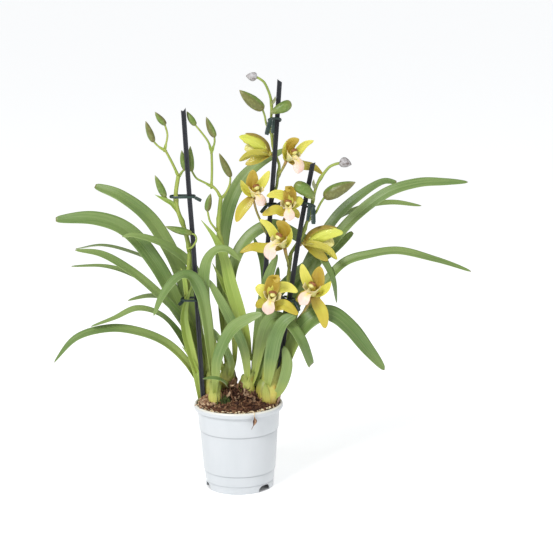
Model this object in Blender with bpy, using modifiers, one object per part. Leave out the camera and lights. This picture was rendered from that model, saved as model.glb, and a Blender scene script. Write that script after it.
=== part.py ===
"""Potted miniature Cymbidium orchid in a 12 cm grower's pot, with its three stakes.

Frame: the origin is on the surface under the middle of the pot, +Z is up, +X is to the right
and -Y is the front.  Lengths and places below are in millimetres; MM turns them into metres.

Every leaf and stem follows a smooth route through a few points.  Leaves start inside their
pseudobulb and are trimmed back to a hair's breadth off its skin.
"""

import math

import bmesh
import bpy
from mathutils import Matrix, Vector, noise

MM = 0.001
CLEARANCE = 0.3          # between pieces that touch

# Pot
POT_HEIGHT = 118.5
POT_LIP_RADIUS = 60.0
POT_LIP_HEIGHT = 10.0
POT_WALL = 1.3
POT_FOOT_RADIUS = 45.5
POT_STEPS = ((80.4, 53.4, 52.3), (24.8, 48.6, 47.7))   # height, radius above, radius below
POT_NECK_RADIUS = 55.2                                 # under the lip
POT_FLOOR_Z = 9.6                                      # underside of the raised floor
POT_DISH_RADIUS = 16.0                                 # middle of the floor, down on the surface
POT_SKIRT = 1.5
POT_SIDES = 32
DRAIN_HOLES = 6
DRAIN_HOLE_RADIUS = 4.0
DRAIN_CIRCLE_RADIUS = 31.0
FOOT_NOTCH_WIDTH = 22.0
FOOT_NOTCH_HEIGHT = 8.5
FOOT_NOTCH_OUTLINE = ((-0.5, -0.12), (-0.46, 0.55), (-0.34, 0.86), (-0.16, 1.0),
                      (0.16, 1.0), (0.34, 0.86), (0.46, 0.55), (0.5, -0.12))
FOOT_NOTCH_ANGLES = (-42.0, 78.0, 198.0)               # degrees from +X

# Potting mix
MIX_EDGE_Z = 114.0
MIX_MOUND = 4.0
MIX_HEAP = (-39.0, -12.0, 13.0, 9.0)                   # x, y, radius, height above the rest
MIX_ROUGHNESS = 1.6
MIX_SIDES = 24
MIX_RINGS = 4

# Leaf blades
LEAF_THICKNESS = 1.2
LEAF_FOLD = 0.28          # depth of the V across a blade, as a share of its half width
LEAF_RING_SPACING = 21.0
LEAF_BASE_WIDTH = 7.5

STAKE_WIDTH = 6.3
STAKE_THICKNESS = 3.4
STAKE_GROOVE = 0.9

# The second flowering spike is the first one's mirror image, turned and a little larger.
SPIKE_TIE = Vector((50, 12, 440))
TWIN_TIE = Vector((85, 9, 320))
TWIN_TURN = math.radians(14.5)
TWIN_SCALE = 1.15


# ---------------------------------------------------------------- scene and materials

for old in list(bpy.data.objects):
    bpy.data.objects.remove(old, do_unlink=True)

orchid = bpy.data.collections.new("potted_orchid")
cutters = bpy.data.collections.new("cutters")
bpy.context.scene.collection.children.link(orchid)
bpy.context.scene.collection.children.link(cutters)


def make_material(name, colour, roughness):
    material = bpy.data.materials.new(name)
    material.use_nodes = True
    shader = material.node_tree.nodes["Principled BSDF"]
    shader.inputs["Base Color"].default_value = (*colour, 1.0)
    shader.inputs["Roughness"].default_value = roughness
    shader.inputs["Metallic"].default_value = 0.0
    return material


POT_PLASTIC = make_material("pale_pot_plastic", (0.76, 0.81, 0.85), 0.35)
BARK = make_material("bark_and_peat", (0.13, 0.06, 0.03), 0.95)
STAKE_PLASTIC = make_material("slate_stake_plastic", (0.03, 0.035, 0.045), 0.45)
CLIP_PLASTIC = make_material("dark_green_clip_plastic", (0.02, 0.05, 0.04), 0.4)
LEAF_GREEN = make_material("leaf_green", (0.13, 0.29, 0.06), 0.45)
STEM_GREEN = make_material("spike_green", (0.35, 0.45, 0.08), 0.5)
BULB_GREEN = make_material("pseudobulb_green", (0.28, 0.34, 0.1), 0.6)
PETAL_YELLOW = make_material("petal_yellow", (0.6, 0.5, 0.08), 0.5)


# ---------------------------------------------------------------- shape helpers

def add_object(name, mesh, material):
    mesh.materials.clear()
    mesh.materials.append(material)
    item = bpy.data.objects.new(name, mesh)
    orchid.objects.link(item)
    return item


def mesh_from(bm, name):
    """Finish a bmesh that was drawn in millimetres as a mesh in metres."""
    bmesh.ops.recalc_face_normals(bm, faces=bm.faces)
    bmesh.ops.scale(bm, vec=(MM, MM, MM), verts=bm.verts)
    mesh = bpy.data.meshes.new(name)
    bm.to_mesh(mesh)
    bm.free()
    return mesh


def as_cutter(mesh):
    cutter = bpy.data.objects.new("cutter", mesh)
    cutters.objects.link(cutter)
    cutter.hide_render = True
    cutter.display_type = "WIRE"
    return cutter


def boolean(mesh, other, operation):
    """The mesh that is left after joining or cutting one closed mesh with another."""
    body = bpy.data.objects.new("body", mesh)
    orchid.objects.link(body)
    tool = as_cutter(other)
    step = body.modifiers.new(operation, "BOOLEAN")
    step.operation = operation
    step.solver = "EXACT"
    step.object = tool
    depsgraph = bpy.context.evaluated_depsgraph_get()
    result = bpy.data.meshes.new_from_object(body.evaluated_get(depsgraph))
    bpy.data.objects.remove(body)
    bpy.data.objects.remove(tool)
    return result


def union(meshes):
    whole = meshes[0]
    for mesh in meshes[1:]:
        whole = boolean(whole, mesh, "UNION")
    return whole


def smooth_route(points, spacing, fewest=2):
    """Evenly spaced places and directions on a Catmull-Rom curve through the points."""
    knots = [Vector(p) for p in points]
    knots = [2 * knots[0] - knots[1], *knots, 2 * knots[-1] - knots[-2]]
    fine = []
    for a, b, c, d in zip(knots, knots[1:], knots[2:], knots[3:]):
        for i in range(24):
            t = i / 24
            fine.append(0.5 * (2 * b + (c - a) * t + (2 * a - 5 * b + 4 * c - d) * t * t
                               + (3 * b - a - 3 * c + d) * t ** 3))
    fine.append(knots[-2])
    travelled = [0.0]
    for a, b in zip(fine, fine[1:]):
        travelled.append(travelled[-1] + (b - a).length)
    count = max(fewest, round(travelled[-1] / spacing))
    places, k = [], 0
    for i in range(count + 1):
        goal = travelled[-1] * i / count
        while k < len(fine) - 2 and travelled[k + 1] < goal:
            k += 1
        share = (goal - travelled[k]) / (travelled[k + 1] - travelled[k])
        places.append(fine[k].lerp(fine[k + 1], min(1.0, share)))
    ahead = [*places[1:], 2 * places[-1] - places[-2]]
    behind = [2 * places[0] - places[1], *places[:-1]]
    return places, [(a - b).normalized() for a, b in zip(ahead, behind)]


def loft(rings, name="loft"):
    """A closed skin over rings of equally many points, capped at both ends.

    Each strip is split the same way above and below, so that a twisted blade keeps its thickness.
    """
    bm = bmesh.new()
    rows = [[bm.verts.new(p) for p in ring] for ring in rings]
    count = len(rows[0])
    for lower, upper in zip(rows, rows[1:]):
        for i in range(count):
            j = (i + 1) % count
            if i % 2 == 0:
                bm.faces.new((lower[i], lower[j], upper[j]))
                bm.faces.new((lower[i], upper[j], upper[i]))
            else:
                bm.faces.new((lower[i], lower[j], upper[i]))
                bm.faces.new((lower[j], upper[j], upper[i]))
    caps = [bm.faces.new(rows[0]), bm.faces.new(rows[-1])]
    bmesh.ops.triangulate(bm, faces=caps, ngon_method="EAR_CLIP")
    return mesh_from(bm, name)


def tube(points, radius, end_radius=None, spacing=14.0):
    """A round stem: a bevelled poly curve, turned into a mesh with welded caps."""
    places, _ = smooth_route(points, spacing)
    curve = bpy.data.curves.new("tube", "CURVE")
    curve.dimensions = "3D"
    curve.bevel_depth = 1.0
    curve.bevel_resolution = 1
    curve.use_fill_caps = True
    spline = curve.splines.new("POLY")
    spline.points.add(len(places) - 1)
    for i, place in enumerate(places):
        share = i / (len(places) - 1)
        spline.points[i].co = (*place, 1.0)
        spline.points[i].radius = radius + ((end_radius or radius) - radius) * share
    holder = bpy.data.objects.new("tube", curve)
    orchid.objects.link(holder)
    depsgraph = bpy.context.evaluated_depsgraph_get()
    mesh = bpy.data.meshes.new_from_object(holder.evaluated_get(depsgraph))
    bpy.data.objects.remove(holder)
    bm = bmesh.new()
    bm.from_mesh(mesh)
    bmesh.ops.remove_doubles(bm, verts=bm.verts, dist=0.01)
    return mesh_from(bm, "tube")


def blade(points, width_at, faces, thickness, fold, spacing):
    """A thin strap with a V-shaped section: leaves, sepals, petals and bracts.

    width_at gives the width at a share of the length, and faces lists the ways that the
    upper side looks, evenly spread from base to tip.
    """
    places, directions = smooth_route(points, spacing, fewest=len(points) - 1)
    rings = []
    for i, (place, along) in enumerate(zip(places, directions)):
        share = i / (len(places) - 1)
        slot = min(int(share * (len(faces) - 1)), len(faces) - 2)
        look = Vector(faces[slot]).lerp(Vector(faces[slot + 1]), share * (len(faces) - 1) - slot)
        side = along.cross(look).normalized()
        up = side.cross(along).normalized()
        half = width_at(share) / 2
        thick = thickness * (1 - 0.4 * share) / 2
        rings.append((place - side * half + up * fold * half, place + up * thick,
                      place + side * half + up * fold * half, place - up * thick))
    return loft(rings, "blade")


def spindle(base, tip, width, sides=7):
    """A pointed bud, fattest a little below its middle, that swallows the end of its stalk."""
    axis = (tip - base).normalized()
    base = base - axis * 1.5
    across = axis.cross(Vector((0, 1, 0))).normalized()
    other = axis.cross(across)
    rings = []
    for share, fullness in ((0, 0.44), (0.18, 0.8), (0.42, 1.0), (0.7, 0.72), (1, 0.1)):
        middle = base.lerp(tip, share)
        ring = []
        for i in range(sides):
            turn = math.tau * i / sides
            spoke = across * math.cos(turn) + other * math.sin(turn)
            ring.append(middle + spoke * width / 2 * fullness)
        rings.append(ring)
    return loft(rings, "bud")


def ellipsoid(centre, radii, grow=0.0, sides=12):
    bm = bmesh.new()
    bmesh.ops.create_uvsphere(bm, u_segments=sides, v_segments=sides * 2 // 3, radius=1.0)
    bmesh.ops.scale(bm, vec=[r + grow for r in radii], verts=bm.verts)
    bmesh.ops.translate(bm, vec=centre, verts=bm.verts)
    return mesh_from(bm, "ellipsoid")


# ---------------------------------------------------------------- pot

def pot_outer_profile():
    """Radius and height of the outer skin, from the rim down to the foot."""
    neck_z = POT_HEIGHT - POT_LIP_HEIGHT
    lip = [(POT_LIP_RADIUS - 2.2, POT_HEIGHT), (POT_LIP_RADIUS - 0.7, POT_HEIGHT - 0.6),
           (POT_LIP_RADIUS, POT_HEIGHT - 2.4), (POT_LIP_RADIUS - 0.2, neck_z + 2.2),
           (POT_LIP_RADIUS - 1.4, neck_z), (POT_NECK_RADIUS, neck_z - 0.6)]
    walls = []
    for height, above, below in POT_STEPS:
        walls += [(above, height + 0.8), (below, height - 0.4)]
    return lip + walls + [(POT_FOOT_RADIUS + 0.6, 10.0), (POT_FOOT_RADIUS, 0.0)]


def build_pot():
    outer = pot_outer_profile()
    floor_top = POT_FLOOR_Z + POT_WALL
    inner = [(POT_LIP_RADIUS - 3.6, POT_HEIGHT - 0.5)]
    inner += [(r - POT_WALL, z) for r, z in outer[5:-2]]
    inner += [(POT_FOOT_RADIUS - 0.7, floor_top), (POT_DISH_RADIUS + POT_WALL, floor_top),
              (POT_DISH_RADIUS - POT_WALL, POT_WALL), (0.0, POT_WALL)]
    foot_inside = POT_FOOT_RADIUS - POT_SKIRT
    underside = [(foot_inside, 0.0), (foot_inside, POT_FLOOR_Z),
                 (POT_DISH_RADIUS + 2 * POT_WALL, POT_FLOOR_Z), (POT_DISH_RADIUS, 0.0), (0.0, 0.0)]
    profile = inner[::-1] + outer + underside

    bm = bmesh.new()
    verts = [bm.verts.new((r * MM, 0, z * MM)) for r, z in profile]
    for a, b in zip(verts, verts[1:]):
        bm.edges.new((a, b))
    mesh = bpy.data.meshes.new("pot_profile")
    bm.to_mesh(mesh)
    bm.free()
    turned = bpy.data.objects.new("pot_turned", mesh)
    orchid.objects.link(turned)
    screw = turned.modifiers.new("turn", "SCREW")
    screw.axis = "Z"
    screw.steps = screw.render_steps = POT_SIDES
    screw.use_merge_vertices = True
    screw.merge_threshold = 0.00005
    depsgraph = bpy.context.evaluated_depsgraph_get()
    shell = bpy.data.meshes.new_from_object(turned.evaluated_get(depsgraph))
    bpy.data.objects.remove(turned)

    for angle in FOOT_NOTCH_ANGLES:
        shell = boolean(shell, foot_notch(math.radians(angle)), "DIFFERENCE")
    for i in range(DRAIN_HOLES):
        shell = boolean(shell, drain_hole(math.tau * i / DRAIN_HOLES), "DIFFERENCE")
    shell.shade_smooth()
    shell.set_sharp_from_angle(angle=math.radians(35))
    add_object("grower_pot", shell, POT_PLASTIC)


def foot_notch(angle):
    """An arch through the foot skirt that lets water run out from under the pot."""
    bm = bmesh.new()
    rows = []
    for reach in (POT_FOOT_RADIUS - 5, POT_FOOT_RADIUS + 5):
        rows.append([bm.verts.new((reach, x * FOOT_NOTCH_WIDTH, z * FOOT_NOTCH_HEIGHT))
                     for x, z in FOOT_NOTCH_OUTLINE])
    for i in range(len(FOOT_NOTCH_OUTLINE)):
        j = (i + 1) % len(FOOT_NOTCH_OUTLINE)
        bm.faces.new((rows[0][i], rows[0][j], rows[1][j], rows[1][i]))
    bm.faces.new(rows[0])
    bm.faces.new(rows[1])
    bmesh.ops.rotate(bm, cent=(0, 0, 0), matrix=Matrix.Rotation(angle, 3, "Z"), verts=bm.verts)
    return mesh_from(bm, "notch")


def drain_hole(angle):
    bm = bmesh.new()
    bmesh.ops.create_cone(bm, cap_ends=True, segments=10, radius1=DRAIN_HOLE_RADIUS,
                          radius2=DRAIN_HOLE_RADIUS, depth=6)
    bmesh.ops.translate(bm, verts=bm.verts, vec=(
        DRAIN_CIRCLE_RADIUS * math.cos(angle), DRAIN_CIRCLE_RADIUS * math.sin(angle), POT_FLOOR_Z + 0.6))
    return mesh_from(bm, "drain_hole")


# ---------------------------------------------------------------- pseudobulbs

BULBS = {   # name: (centre, half sizes)
    "left_bulb": ((-36, 8, 128), (11, 11, 24)),
    "back_left_bulb": ((-29, 31, 127), (10, 10, 22)),
    "front_shoot": ((-31, -18, 123), (8, 8, 18)),
    "middle_bulb": ((-14, 3, 138), (10.5, 10.5, 33)),
    "centre_bulb": ((9, -6, 126), (11, 11, 26)),
    "right_bulb": ((38, -7, 128), (14, 13.5, 24)),
    "back_right_bulb": ((33, 30, 127), (9.5, 9.5, 22)),
}


def build_bulbs():
    for name, (centre, radii) in BULBS.items():
        bulb = ellipsoid(centre, radii)
        bulb.shade_smooth()
        add_object(name, bulb, BULB_GREEN)


# ---------------------------------------------------------------- leaves

POINTED, ROUNDED, CUT = 0.10, 0.32, 0.7      # width that is left at the tip, as a share

LEAVES = [
    # name, bulb, width, tip, faces from base to tip, route
    ("left_leaf_1", "back_left_bulb", 23, ROUNDED, ((0.6, -0.8, 0.2), (0.4, -0.8, 0.5), (0.3, -0.8, 0.5)),
     ((-37, 30, 125), (-44, 33, 147), (-53, 38, 193), (-66, 38, 250), (-85, 42, 306), (-115, 50, 356),
      (-153, 58, 387), (-189, 64, 401))),
    ("left_leaf_2", "left_bulb", 24, ROUNDED, ((0.5, -0.9, 0.2), (0.4, -0.8, 0.4), (0.1, -0.8, 0.6)),
     ((-37, 18, 130), (-46, 24, 150), (-60, 22, 197), (-82, 24, 249), (-109, 18, 305), (-143, 10, 349),
      (-183, -2, 368), (-234, -10, 369))),
    ("left_leaf_3", "left_bulb", 14, POINTED, ((0.7, -0.7, 0.1), (0.4, -0.7, 0.5), (0.1, -0.7, 0.7)),
     ((-38, 4, 132), (-42, 7, 153), (-41, 9, 208), (-45, 14, 258), (-54, 15, 290), (-68, 15, 310),
      (-98, 4, 333), (-130, -6, 346), (-148, -10, 345))),
    ("left_leaf_4", "back_left_bulb", 13, POINTED, ((0.6, -0.8, 0.2), (0.3, -0.2, 0.9), (0.1, -0.1, 1.0)),
     ((-34, 38, 124), (-47, 45, 146), (-64, 51, 211), (-83, 55, 256), (-111, 54, 294), (-144, 58, 311),
      (-182, 60, 320), (-218, 62, 316))),
    ("left_leaf_5", "left_bulb", 15, POINTED, ((0.6, -0.8, 0.1), (0.5, -0.6, 0.6), (0.2, -0.6, 0.7)),
     ((-41, 9, 132), (-46, 13, 145), (-56, 15, 190), (-79, 10, 236), (-108, 4, 268), (-140, -1, 298),
      (-175, -8, 321), (-210, -14, 329))),
    ("left_leaf_6", "back_left_bulb", 12, POINTED, ((0.6, -0.7, 0.2), (0.5, -0.4, 0.8), (0.1, -0.3, 0.9)),
     ((-35, 24, 122), (-46, 26, 142), (-60, 26, 189), (-84, 25, 233), (-113, 31, 267), (-143, 34, 286),
      (-180, 38, 296), (-222, 42, 296))),
    ("left_leaf_7", "back_left_bulb", 13, POINTED, ((0.6, -0.7, 0.2), (0.3, -0.4, 0.9), (-0.2, -0.4, 0.9)),
     ((-35, 36, 129), (-43, 39, 148), (-55, 42, 195), (-74, 42, 238), (-98, 44, 250), (-122, 52, 251),
      (-149, 58, 244))),
    ("left_leaf_8", "left_bulb", 13, POINTED, ((0.5, -0.8, 0.2), (0.2, -0.4, 0.9), (-0.4, -0.4, 0.8)),
     ((-40, 15, 128), (-47, 17, 138), (-61, 12, 175), (-79, 8, 209), (-102, 0, 237), (-131, -10, 248),
      (-161, -18, 237), (-191, -26, 229))),
    ("left_leaf_9", "left_bulb", 15, POINTED, ((0.5, -0.8, 0.3), (0.1, -0.6, 0.8), (-0.6, -0.5, 0.6)),
     ((-40, 9, 122), (-52, 10, 136), (-69, 2, 171), (-94, 4, 196), (-126, -6, 214), (-167, -18, 223),
      (-209, -30, 215), (-240, -38, 184))),
    ("front_leaf_1", "front_shoot", 19, POINTED,
     ((0.5, -0.9, 0.0), (0.6, -0.8, 0.0), (0.5, -0.6, 0.5), (-0.5, -0.5, 0.7), (-0.7, -0.7, 0.2)),
     ((-32, -19, 128), (-33, -20, 146), (-35, -22, 179), (-39, -24, 228), (-46, -25, 271),
      (-57, -30, 293), (-73, -36, 296), (-92, -42, 276), (-107, -46, 247))),
    ("front_leaf_2", "middle_bulb", 17, POINTED,
     ((0.3, -0.9, 0.0), (0.4, -0.9, 0.1), (-0.2, -0.7, 0.7), (0.2, -0.5, 0.8)),
     ((-17, 1, 150), (-24, 0, 170), (-36, -3, 206), (-43, -12, 258), (-39, -15, 305), (-27, -18, 325),
      (-11, -22, 328), (7, -26, 314))),
    ("front_leaf_3", "front_shoot", 18, POINTED, ((-0.4, -0.9, 0.1), (-0.5, -0.8, 0.3), (-0.3, -0.9, 0.4)),
     ((-29, -21, 128), (-28, -27, 149), (-26, -30, 179), (-18, -35, 203), (-4, -40, 227),
      (16, -45, 241), (35, -49, 249))),
    ("front_leaf_4", "middle_bulb", 10, POINTED, ((-0.1, -1.0, 0.1), (-0.2, -0.9, 0.1), (-0.3, -0.9, 0.1)),
     ((-11, -3, 150), (-8, -9, 166), (-13, -11, 188), (-24, -12, 207), (-33, -11, 221))),
    ("front_leaf_5", "middle_bulb", 9, POINTED,
     ((0.9, -0.3, 0.0), (0.8, -0.3, 0.4), (0.3, -0.3, 0.9), (0.0, -0.4, 0.9)),
     ((-14, 0, 134), (-14, -10, 139), (-16, -26, 148), (-23, -41, 158), (-33, -44, 161),
      (-45, -46, 161))),
    ("centre_leaf_1", "middle_bulb", 20, ROUNDED, ((0.1, -0.9, 0.0), (0.5, -0.8, 0.2), (-0.6, -0.7, 0.5)),
     ((-14, 6, 152), (-16, 11, 172), (-18, 24, 212), (-20, 32, 269), (-20, 38, 323), (-10, 44, 372),
      (8, 50, 407), (34, 56, 430), (67, 62, 447))),
    ("centre_leaf_2", "middle_bulb", 20, POINTED,
     ((-0.3, -0.9, 0.0), (-0.5, -0.8, 0.1), (-0.3, -0.6, 0.7), (0.5, -0.7, 0.6), (0.9, -0.4, 0.3)),
     ((-9, 8, 150), (-3, 15, 172), (-3, 17, 216), (-8, 23, 271), (1, 28, 308), (21, 36, 336),
      (48, 34, 349), (76, 33, 337), (105, 35, 316), (126, 14, 283), (133, 7, 249))),
    ("centre_leaf_3", "centre_bulb", 14, POINTED, ((-0.2, -0.9, 0.1), (0.2, -0.9, 0.2), (0.4, -0.9, 0.2)),
     ((10, -9, 136), (13, -11, 155), (9, -11, 190), (-4, -10, 222), (-19, -12, 254), (-37, -14, 288))),
    ("centre_leaf_4", "centre_bulb", 17, POINTED, ((0.0, -1.0, 0.1), (-0.2, -0.9, 0.1), (-0.3, -0.9, 0.2)),
     ((14, 0, 134), (21, 2, 152), (27, 5, 190), (34, 8, 240), (43, 4, 285), (55, 4, 316))),
    ("centre_leaf_5", "centre_bulb", 13, POINTED, ((-0.6, -0.8, 0.1), (-0.3, -0.9, 0.1), (-0.1, -0.9, 0.1)),
     ((15, -4, 132), (25, -3, 146), (32, -4, 177), (42, 0, 207), (48, 15, 228))),
    ("centre_leaf_6", "back_right_bulb", 12, POINTED,
     ((0.1, -0.9, 0.1), (0.2, -0.9, 0.1), (0.3, -0.9, 0.2)),
     ((30, 31, 132), (27, 33, 150), (33, 34, 207), (38, 33, 262), (35, 29, 301), (24, 25, 335))),
    ("centre_leaf_7", "back_right_bulb", 12, POINTED,
     ((0.0, -1.0, 0.1), (-0.2, -0.9, 0.1), (0.0, -0.9, 0.1)),
     ((32, 27, 134), (32, 26, 152), (40, 27, 215), (51, 27, 260), (56, 26, 295))),
    ("right_leaf_1", "back_right_bulb", 17, POINTED,
     ((-0.4, -0.9, 0.1), (-0.5, -0.8, 0.3), (-0.3, -0.8, 0.5), (0.0, -0.9, 0.4)),
     ((37, 27, 126), (48, 23, 152), (67, 25, 215), (91, 30, 265), (113, 41, 304), (134, 42, 330),
      (161, 43, 359), (203, 44, 390), (244, 46, 402), (280, 47, 403), (311, 48, 402))),
    ("right_leaf_2", "back_right_bulb", 16, ROUNDED,
     ((-0.4, -0.9, 0.1), (-0.5, -0.8, 0.4), (-0.2, -0.8, 0.6)),
     ((37, 31, 127), (47, 32, 155), (63, 40, 212), (84, 52, 265), (109, 64, 314), (136, 72, 353),
      (168, 78, 381), (198, 84, 398), (218, 86, 397))),
    ("right_leaf_3", "back_right_bulb", 12, POINTED,
     ((-0.4, -0.9, 0.1), (-0.5, -0.6, 0.6), (-0.2, -0.3, 0.9), (-0.1, -0.8, 0.6)),
     ((38, 33, 122), (50, 40, 143), (68, 54, 188), (86, 66, 242), (108, 78, 300), (133, 84, 344),
      (167, 89, 361), (211, 94, 368), (253, 94, 363))),
    ("right_leaf_4", "back_right_bulb", 18, ROUNDED,
     ((-0.1, -0.9, 0.1), (-0.5, -0.8, 0.3), (-0.5, -0.8, 0.3)),
     ((31, 35, 132), (31, 41, 152), (38, 43, 200), (52, 46, 248), (88, 50, 284), (126, 52, 308),
      (157, 54, 335))),
    ("right_leaf_5", "right_bulb", 15, POINTED,
     ((-0.5, -0.8, 0.1), (-0.5, -0.7, 0.4), (-0.1, -0.6, 0.8), (0.2, -0.5, 0.8)),
     ((45, 0, 124), (56, 1, 145), (72, 6, 186), (93, 13, 232), (118, 25, 270), (145, 25, 299),
      (178, 18, 311), (217, 12, 316), (263, 4, 306), (310, -4, 291))),
    ("right_leaf_6", "right_bulb", 28, POINTED,
     ((-0.6, -0.8, 0.1), (-0.6, -0.7, 0.2), (0.1, -0.5, 0.9), (0.4, -0.7, 0.6)),
     ((46, -6, 126), (58, -6, 143), (67, -6, 174), (81, -7, 209), (101, -12, 232), (124, -4, 235),
      (149, -16, 218), (172, -24, 191), (194, -30, 165))),
    ("right_leaf_7", "centre_bulb", 18, CUT,
     ((0.0, -1.0, 0.1), (-0.2, -0.9, 0.1), (0.3, -0.6, 0.7), (0.7, -0.6, 0.3)),
     ((13, -8, 134), (21, -9, 151), (29, -7, 188), (38, -9, 220), (50, -12, 234), (68, -17, 227),
      (84, -28, 206), (97, -22, 171))),
    ("right_leaf_8", "right_bulb", 20, ROUNDED, ((0.2, -1.0, 0.0), (0.1, -1.0, 0.1), (-0.4, -0.8, 0.5)),
     ((38, -13, 134), (40, -19, 150), (44, -22, 180), (51, -24, 211), (62, -24, 231), (78, -22, 240))),
    ("right_leaf_9", "right_bulb", 15, POINTED, ((-0.2, -1.0, 0.0), (0.0, -1.0, 0.0), (0.2, -1.0, 0.0)),
     ((44, -12, 122), (54, -17, 134), (62, -17, 152), (66, -16, 173), (62, -15, 196))),
]


def leaf_width(widest, tip_share):
    """Narrow at the base, full from a third of the length, drawn in towards the tip."""
    def width_at(share):
        if share < 0.35:
            rise = math.sin(share / 0.35 * math.pi / 2)
            return LEAF_BASE_WIDTH + (widest - LEAF_BASE_WIDTH) * rise
        if share < 0.6:
            return widest
        drop = ((share - 0.6) / 0.4) ** 2
        return widest * (tip_share + (1 - tip_share) * math.sqrt(1 - drop * 0.999))
    return width_at


def build_leaves():
    for name, bulb, widest, tip_share, faces, route in LEAVES:
        leaf = blade(route, leaf_width(widest, tip_share), faces, LEAF_THICKNESS, LEAF_FOLD,
                     LEAF_RING_SPACING)
        centre, radii = BULBS[bulb]
        leaf = boolean(leaf, ellipsoid(centre, radii, CLEARANCE), "DIFFERENCE")
        add_object(name, leaf, LEAF_GREEN)


# ---------------------------------------------------------------- stakes

STAKES = {   # name: (slant of the cut top, route from foot to top)
    "left_stake": (0.5, ((-40, -4, 60), (-44, -4, 100), (-47.5, -4, 130), (-51, -4, 217),
                         (-55, -4, 325), (-59, -4, 398), (-64, -4, 508))),
    "middle_stake": (-0.6, ((12, 12, 55), (23, 12, 152), (30, 12, 213), (38, 12, 284),
                            (50, 12, 409), (57, 12, 493), (61, 12, 544))),
    "right_stake": (0.5, ((38, 9, 55), (46, 9, 104), (50, 9, 129), (58, 9, 173), (67, 9, 232),
                          (82, 9, 326), (89, 9, 367), (103, 9, 436))),
}


def stake_section(grow):
    """Outline of the flat stake, with a groove down the front and the back."""
    half_w, half_t = STAKE_WIDTH / 2 + grow, STAKE_THICKNESS / 2 + grow
    groove = 0.0 if grow else STAKE_GROOVE
    quarter = [(half_w, half_t - 0.5), (half_w - 0.5, half_t), (1.2, half_t), (0.6, half_t - groove)]
    left = [(-x, y) for x, y in reversed(quarter)]
    back = quarter + left
    return back + [(-x, -y) for x, y in back]


def stake_mesh(slant, route, grow=0.0):
    places, directions = smooth_route(route, 70.0)
    rings = []
    for i, (place, along) in enumerate(zip(places, directions)):
        side = Vector((0, 1, 0)).cross(along).normalized()
        depth = along.cross(side)
        tilt = slant if i == len(places) - 1 else 0.0
        rings.append([place + side * x + depth * y + along * tilt * x for x, y in stake_section(grow)])
    return loft(rings, "stake")


def build_stakes():
    for name, (slant, route) in STAKES.items():
        add_object(name, stake_mesh(slant, route), STAKE_PLASTIC)


# ---------------------------------------------------------------- where twins lie

def keep(place):
    return Vector(place)


def twin(place):
    """Where a point of the middle spike lies on its mirrored twin, the right spike."""
    away = (Vector(place) - SPIKE_TIE) * TWIN_SCALE
    away.x = -away.x
    return TWIN_TIE + Matrix.Rotation(TWIN_TURN, 3, "Y") @ away


def twin_direction(direction):
    x, y, z = direction
    return Matrix.Rotation(TWIN_TURN, 3, "Y") @ Vector((-x, y, z))


# ---------------------------------------------------------------- flowers

FLOWER_FORMS = {   # each: heart of the flower, column tip, then blades as (width, face, route)
    "side": ((48.5, 20, 446), (-11, 0, 8), [
        (12, (-0.4, 0.2, -0.9), ((-4, -2, 16), (-16, -6, 27), (-33, -10, 30))),
        (14, (0.2, 0.9, -0.3), ((-11, -7, 11), (-25, -12, 22), (-41, -15, 27))),
        (13, (0.2, -0.9, -0.3), ((-10, 4, 10), (-25, 6, 17), (-37, 6, 19))),
        (13, (0.1, 0.8, 0.6), ((-13, -7, 2), (-28, -12, 2), (-42, -15, -5))),
        (12, (0.1, -0.8, 0.6), ((-10, 4, -3), (-22, 6, -8), (-34, 7, -13))),
        (13, (0.1, 0.1, 1.0), ((-13, 0, 3), (-23, -1, 5), (-32, -2, 3))),
    ]),
    "turned": ((69, -1, 442), (10, -10, 13), [
        (15, (0.4, -0.9, 0.0), ((0, 0, 13), (6, -2, 23), (16, -6, 28))),
        (10, (0.9, -0.2, -0.3), ((-4, -8, 10), (-4, -14, 19), (-1, -18, 26))),
        (11, (0.2, -0.9, -0.3), ((11, -2, 9), (23, -5, 21), (35, -8, 26))),
        (11, (0.4, -0.8, 0.3), ((10, 2, -4), (22, 10, -9), (35, 22, -13), (47, 24, -23))),
        (11, (0.3, -0.7, 0.5), ((1, 5, 2), (0, 12, 1), (-3, 18, -3))),
        (14, (0.4, -0.7, 0.6), ((8, -10, 4), (16, -15, -2), (14, -16, -14))),
    ]),
    "open": ((24, -8, 396), (5, -8, 14), [
        (15, (0.1, -0.9, -0.4), ((-1, 1, 14), (0, -1, 26), (1, -6, 36))),
        (10, (0.7, -0.7, 0.0), ((-8, -3, 7), (-13, -8, 15), (-15, -12, 23))),
        (11.5, (0.0, -0.9, -0.3), ((7, 0, 11), (15, -2, 22), (22, -6, 34))),
        (13, (0.1, -0.9, 0.3), ((-6, -2, -7), (-15, -5, -17), (-22, -9, -32))),
        (12, (0.6, -0.7, 0.3), ((6, 5, -3), (12, 10, -7), (17, 14, -13))),
        (14, (0.3, -0.7, 0.6), ((5, -10, 4), (10, -15, 0), (13, -16, -9))),
    ]),
    "hooded": ((70, -8, 378), (0, -7, 11), [
        (16, (0.0, -0.9, -0.4), ((2, 3, 14), (2, -1, 26), (0, -8, 30), (-1, -12, 25))),
        (12, (0.1, -1.0, 0.1), ((-4, 3, 15), (-15, 4, 20), (-28, 0, 18))),
        (14, (-0.3, -0.9, 0.2), ((8, 1, 8), (15, 2, 11), (20, 5, 11))),
        (12, (0.0, -0.8, 0.5), ((-7, -2, -4), (-17, -4, 0), (-34, -7, -6))),
        (11, (0.3, -0.8, 0.5), ((5, 4, -4), (11, 8, -8), (14, 12, -13))),
        (13, (0.0, -0.7, 0.7), ((0, -10, 4), (1, -16, -2), (1, -17, -11))),
    ]),
}

TEPAL_THICKNESS = 1.4
TEPAL_FOLD = 0.22
HEART_RADIUS = 3.6


def tepal_width(widest):
    return lambda share: widest * (0.3 + 0.7 * math.sin(math.pi * min(1.0, 0.04 + 0.96 * share)))


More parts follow.
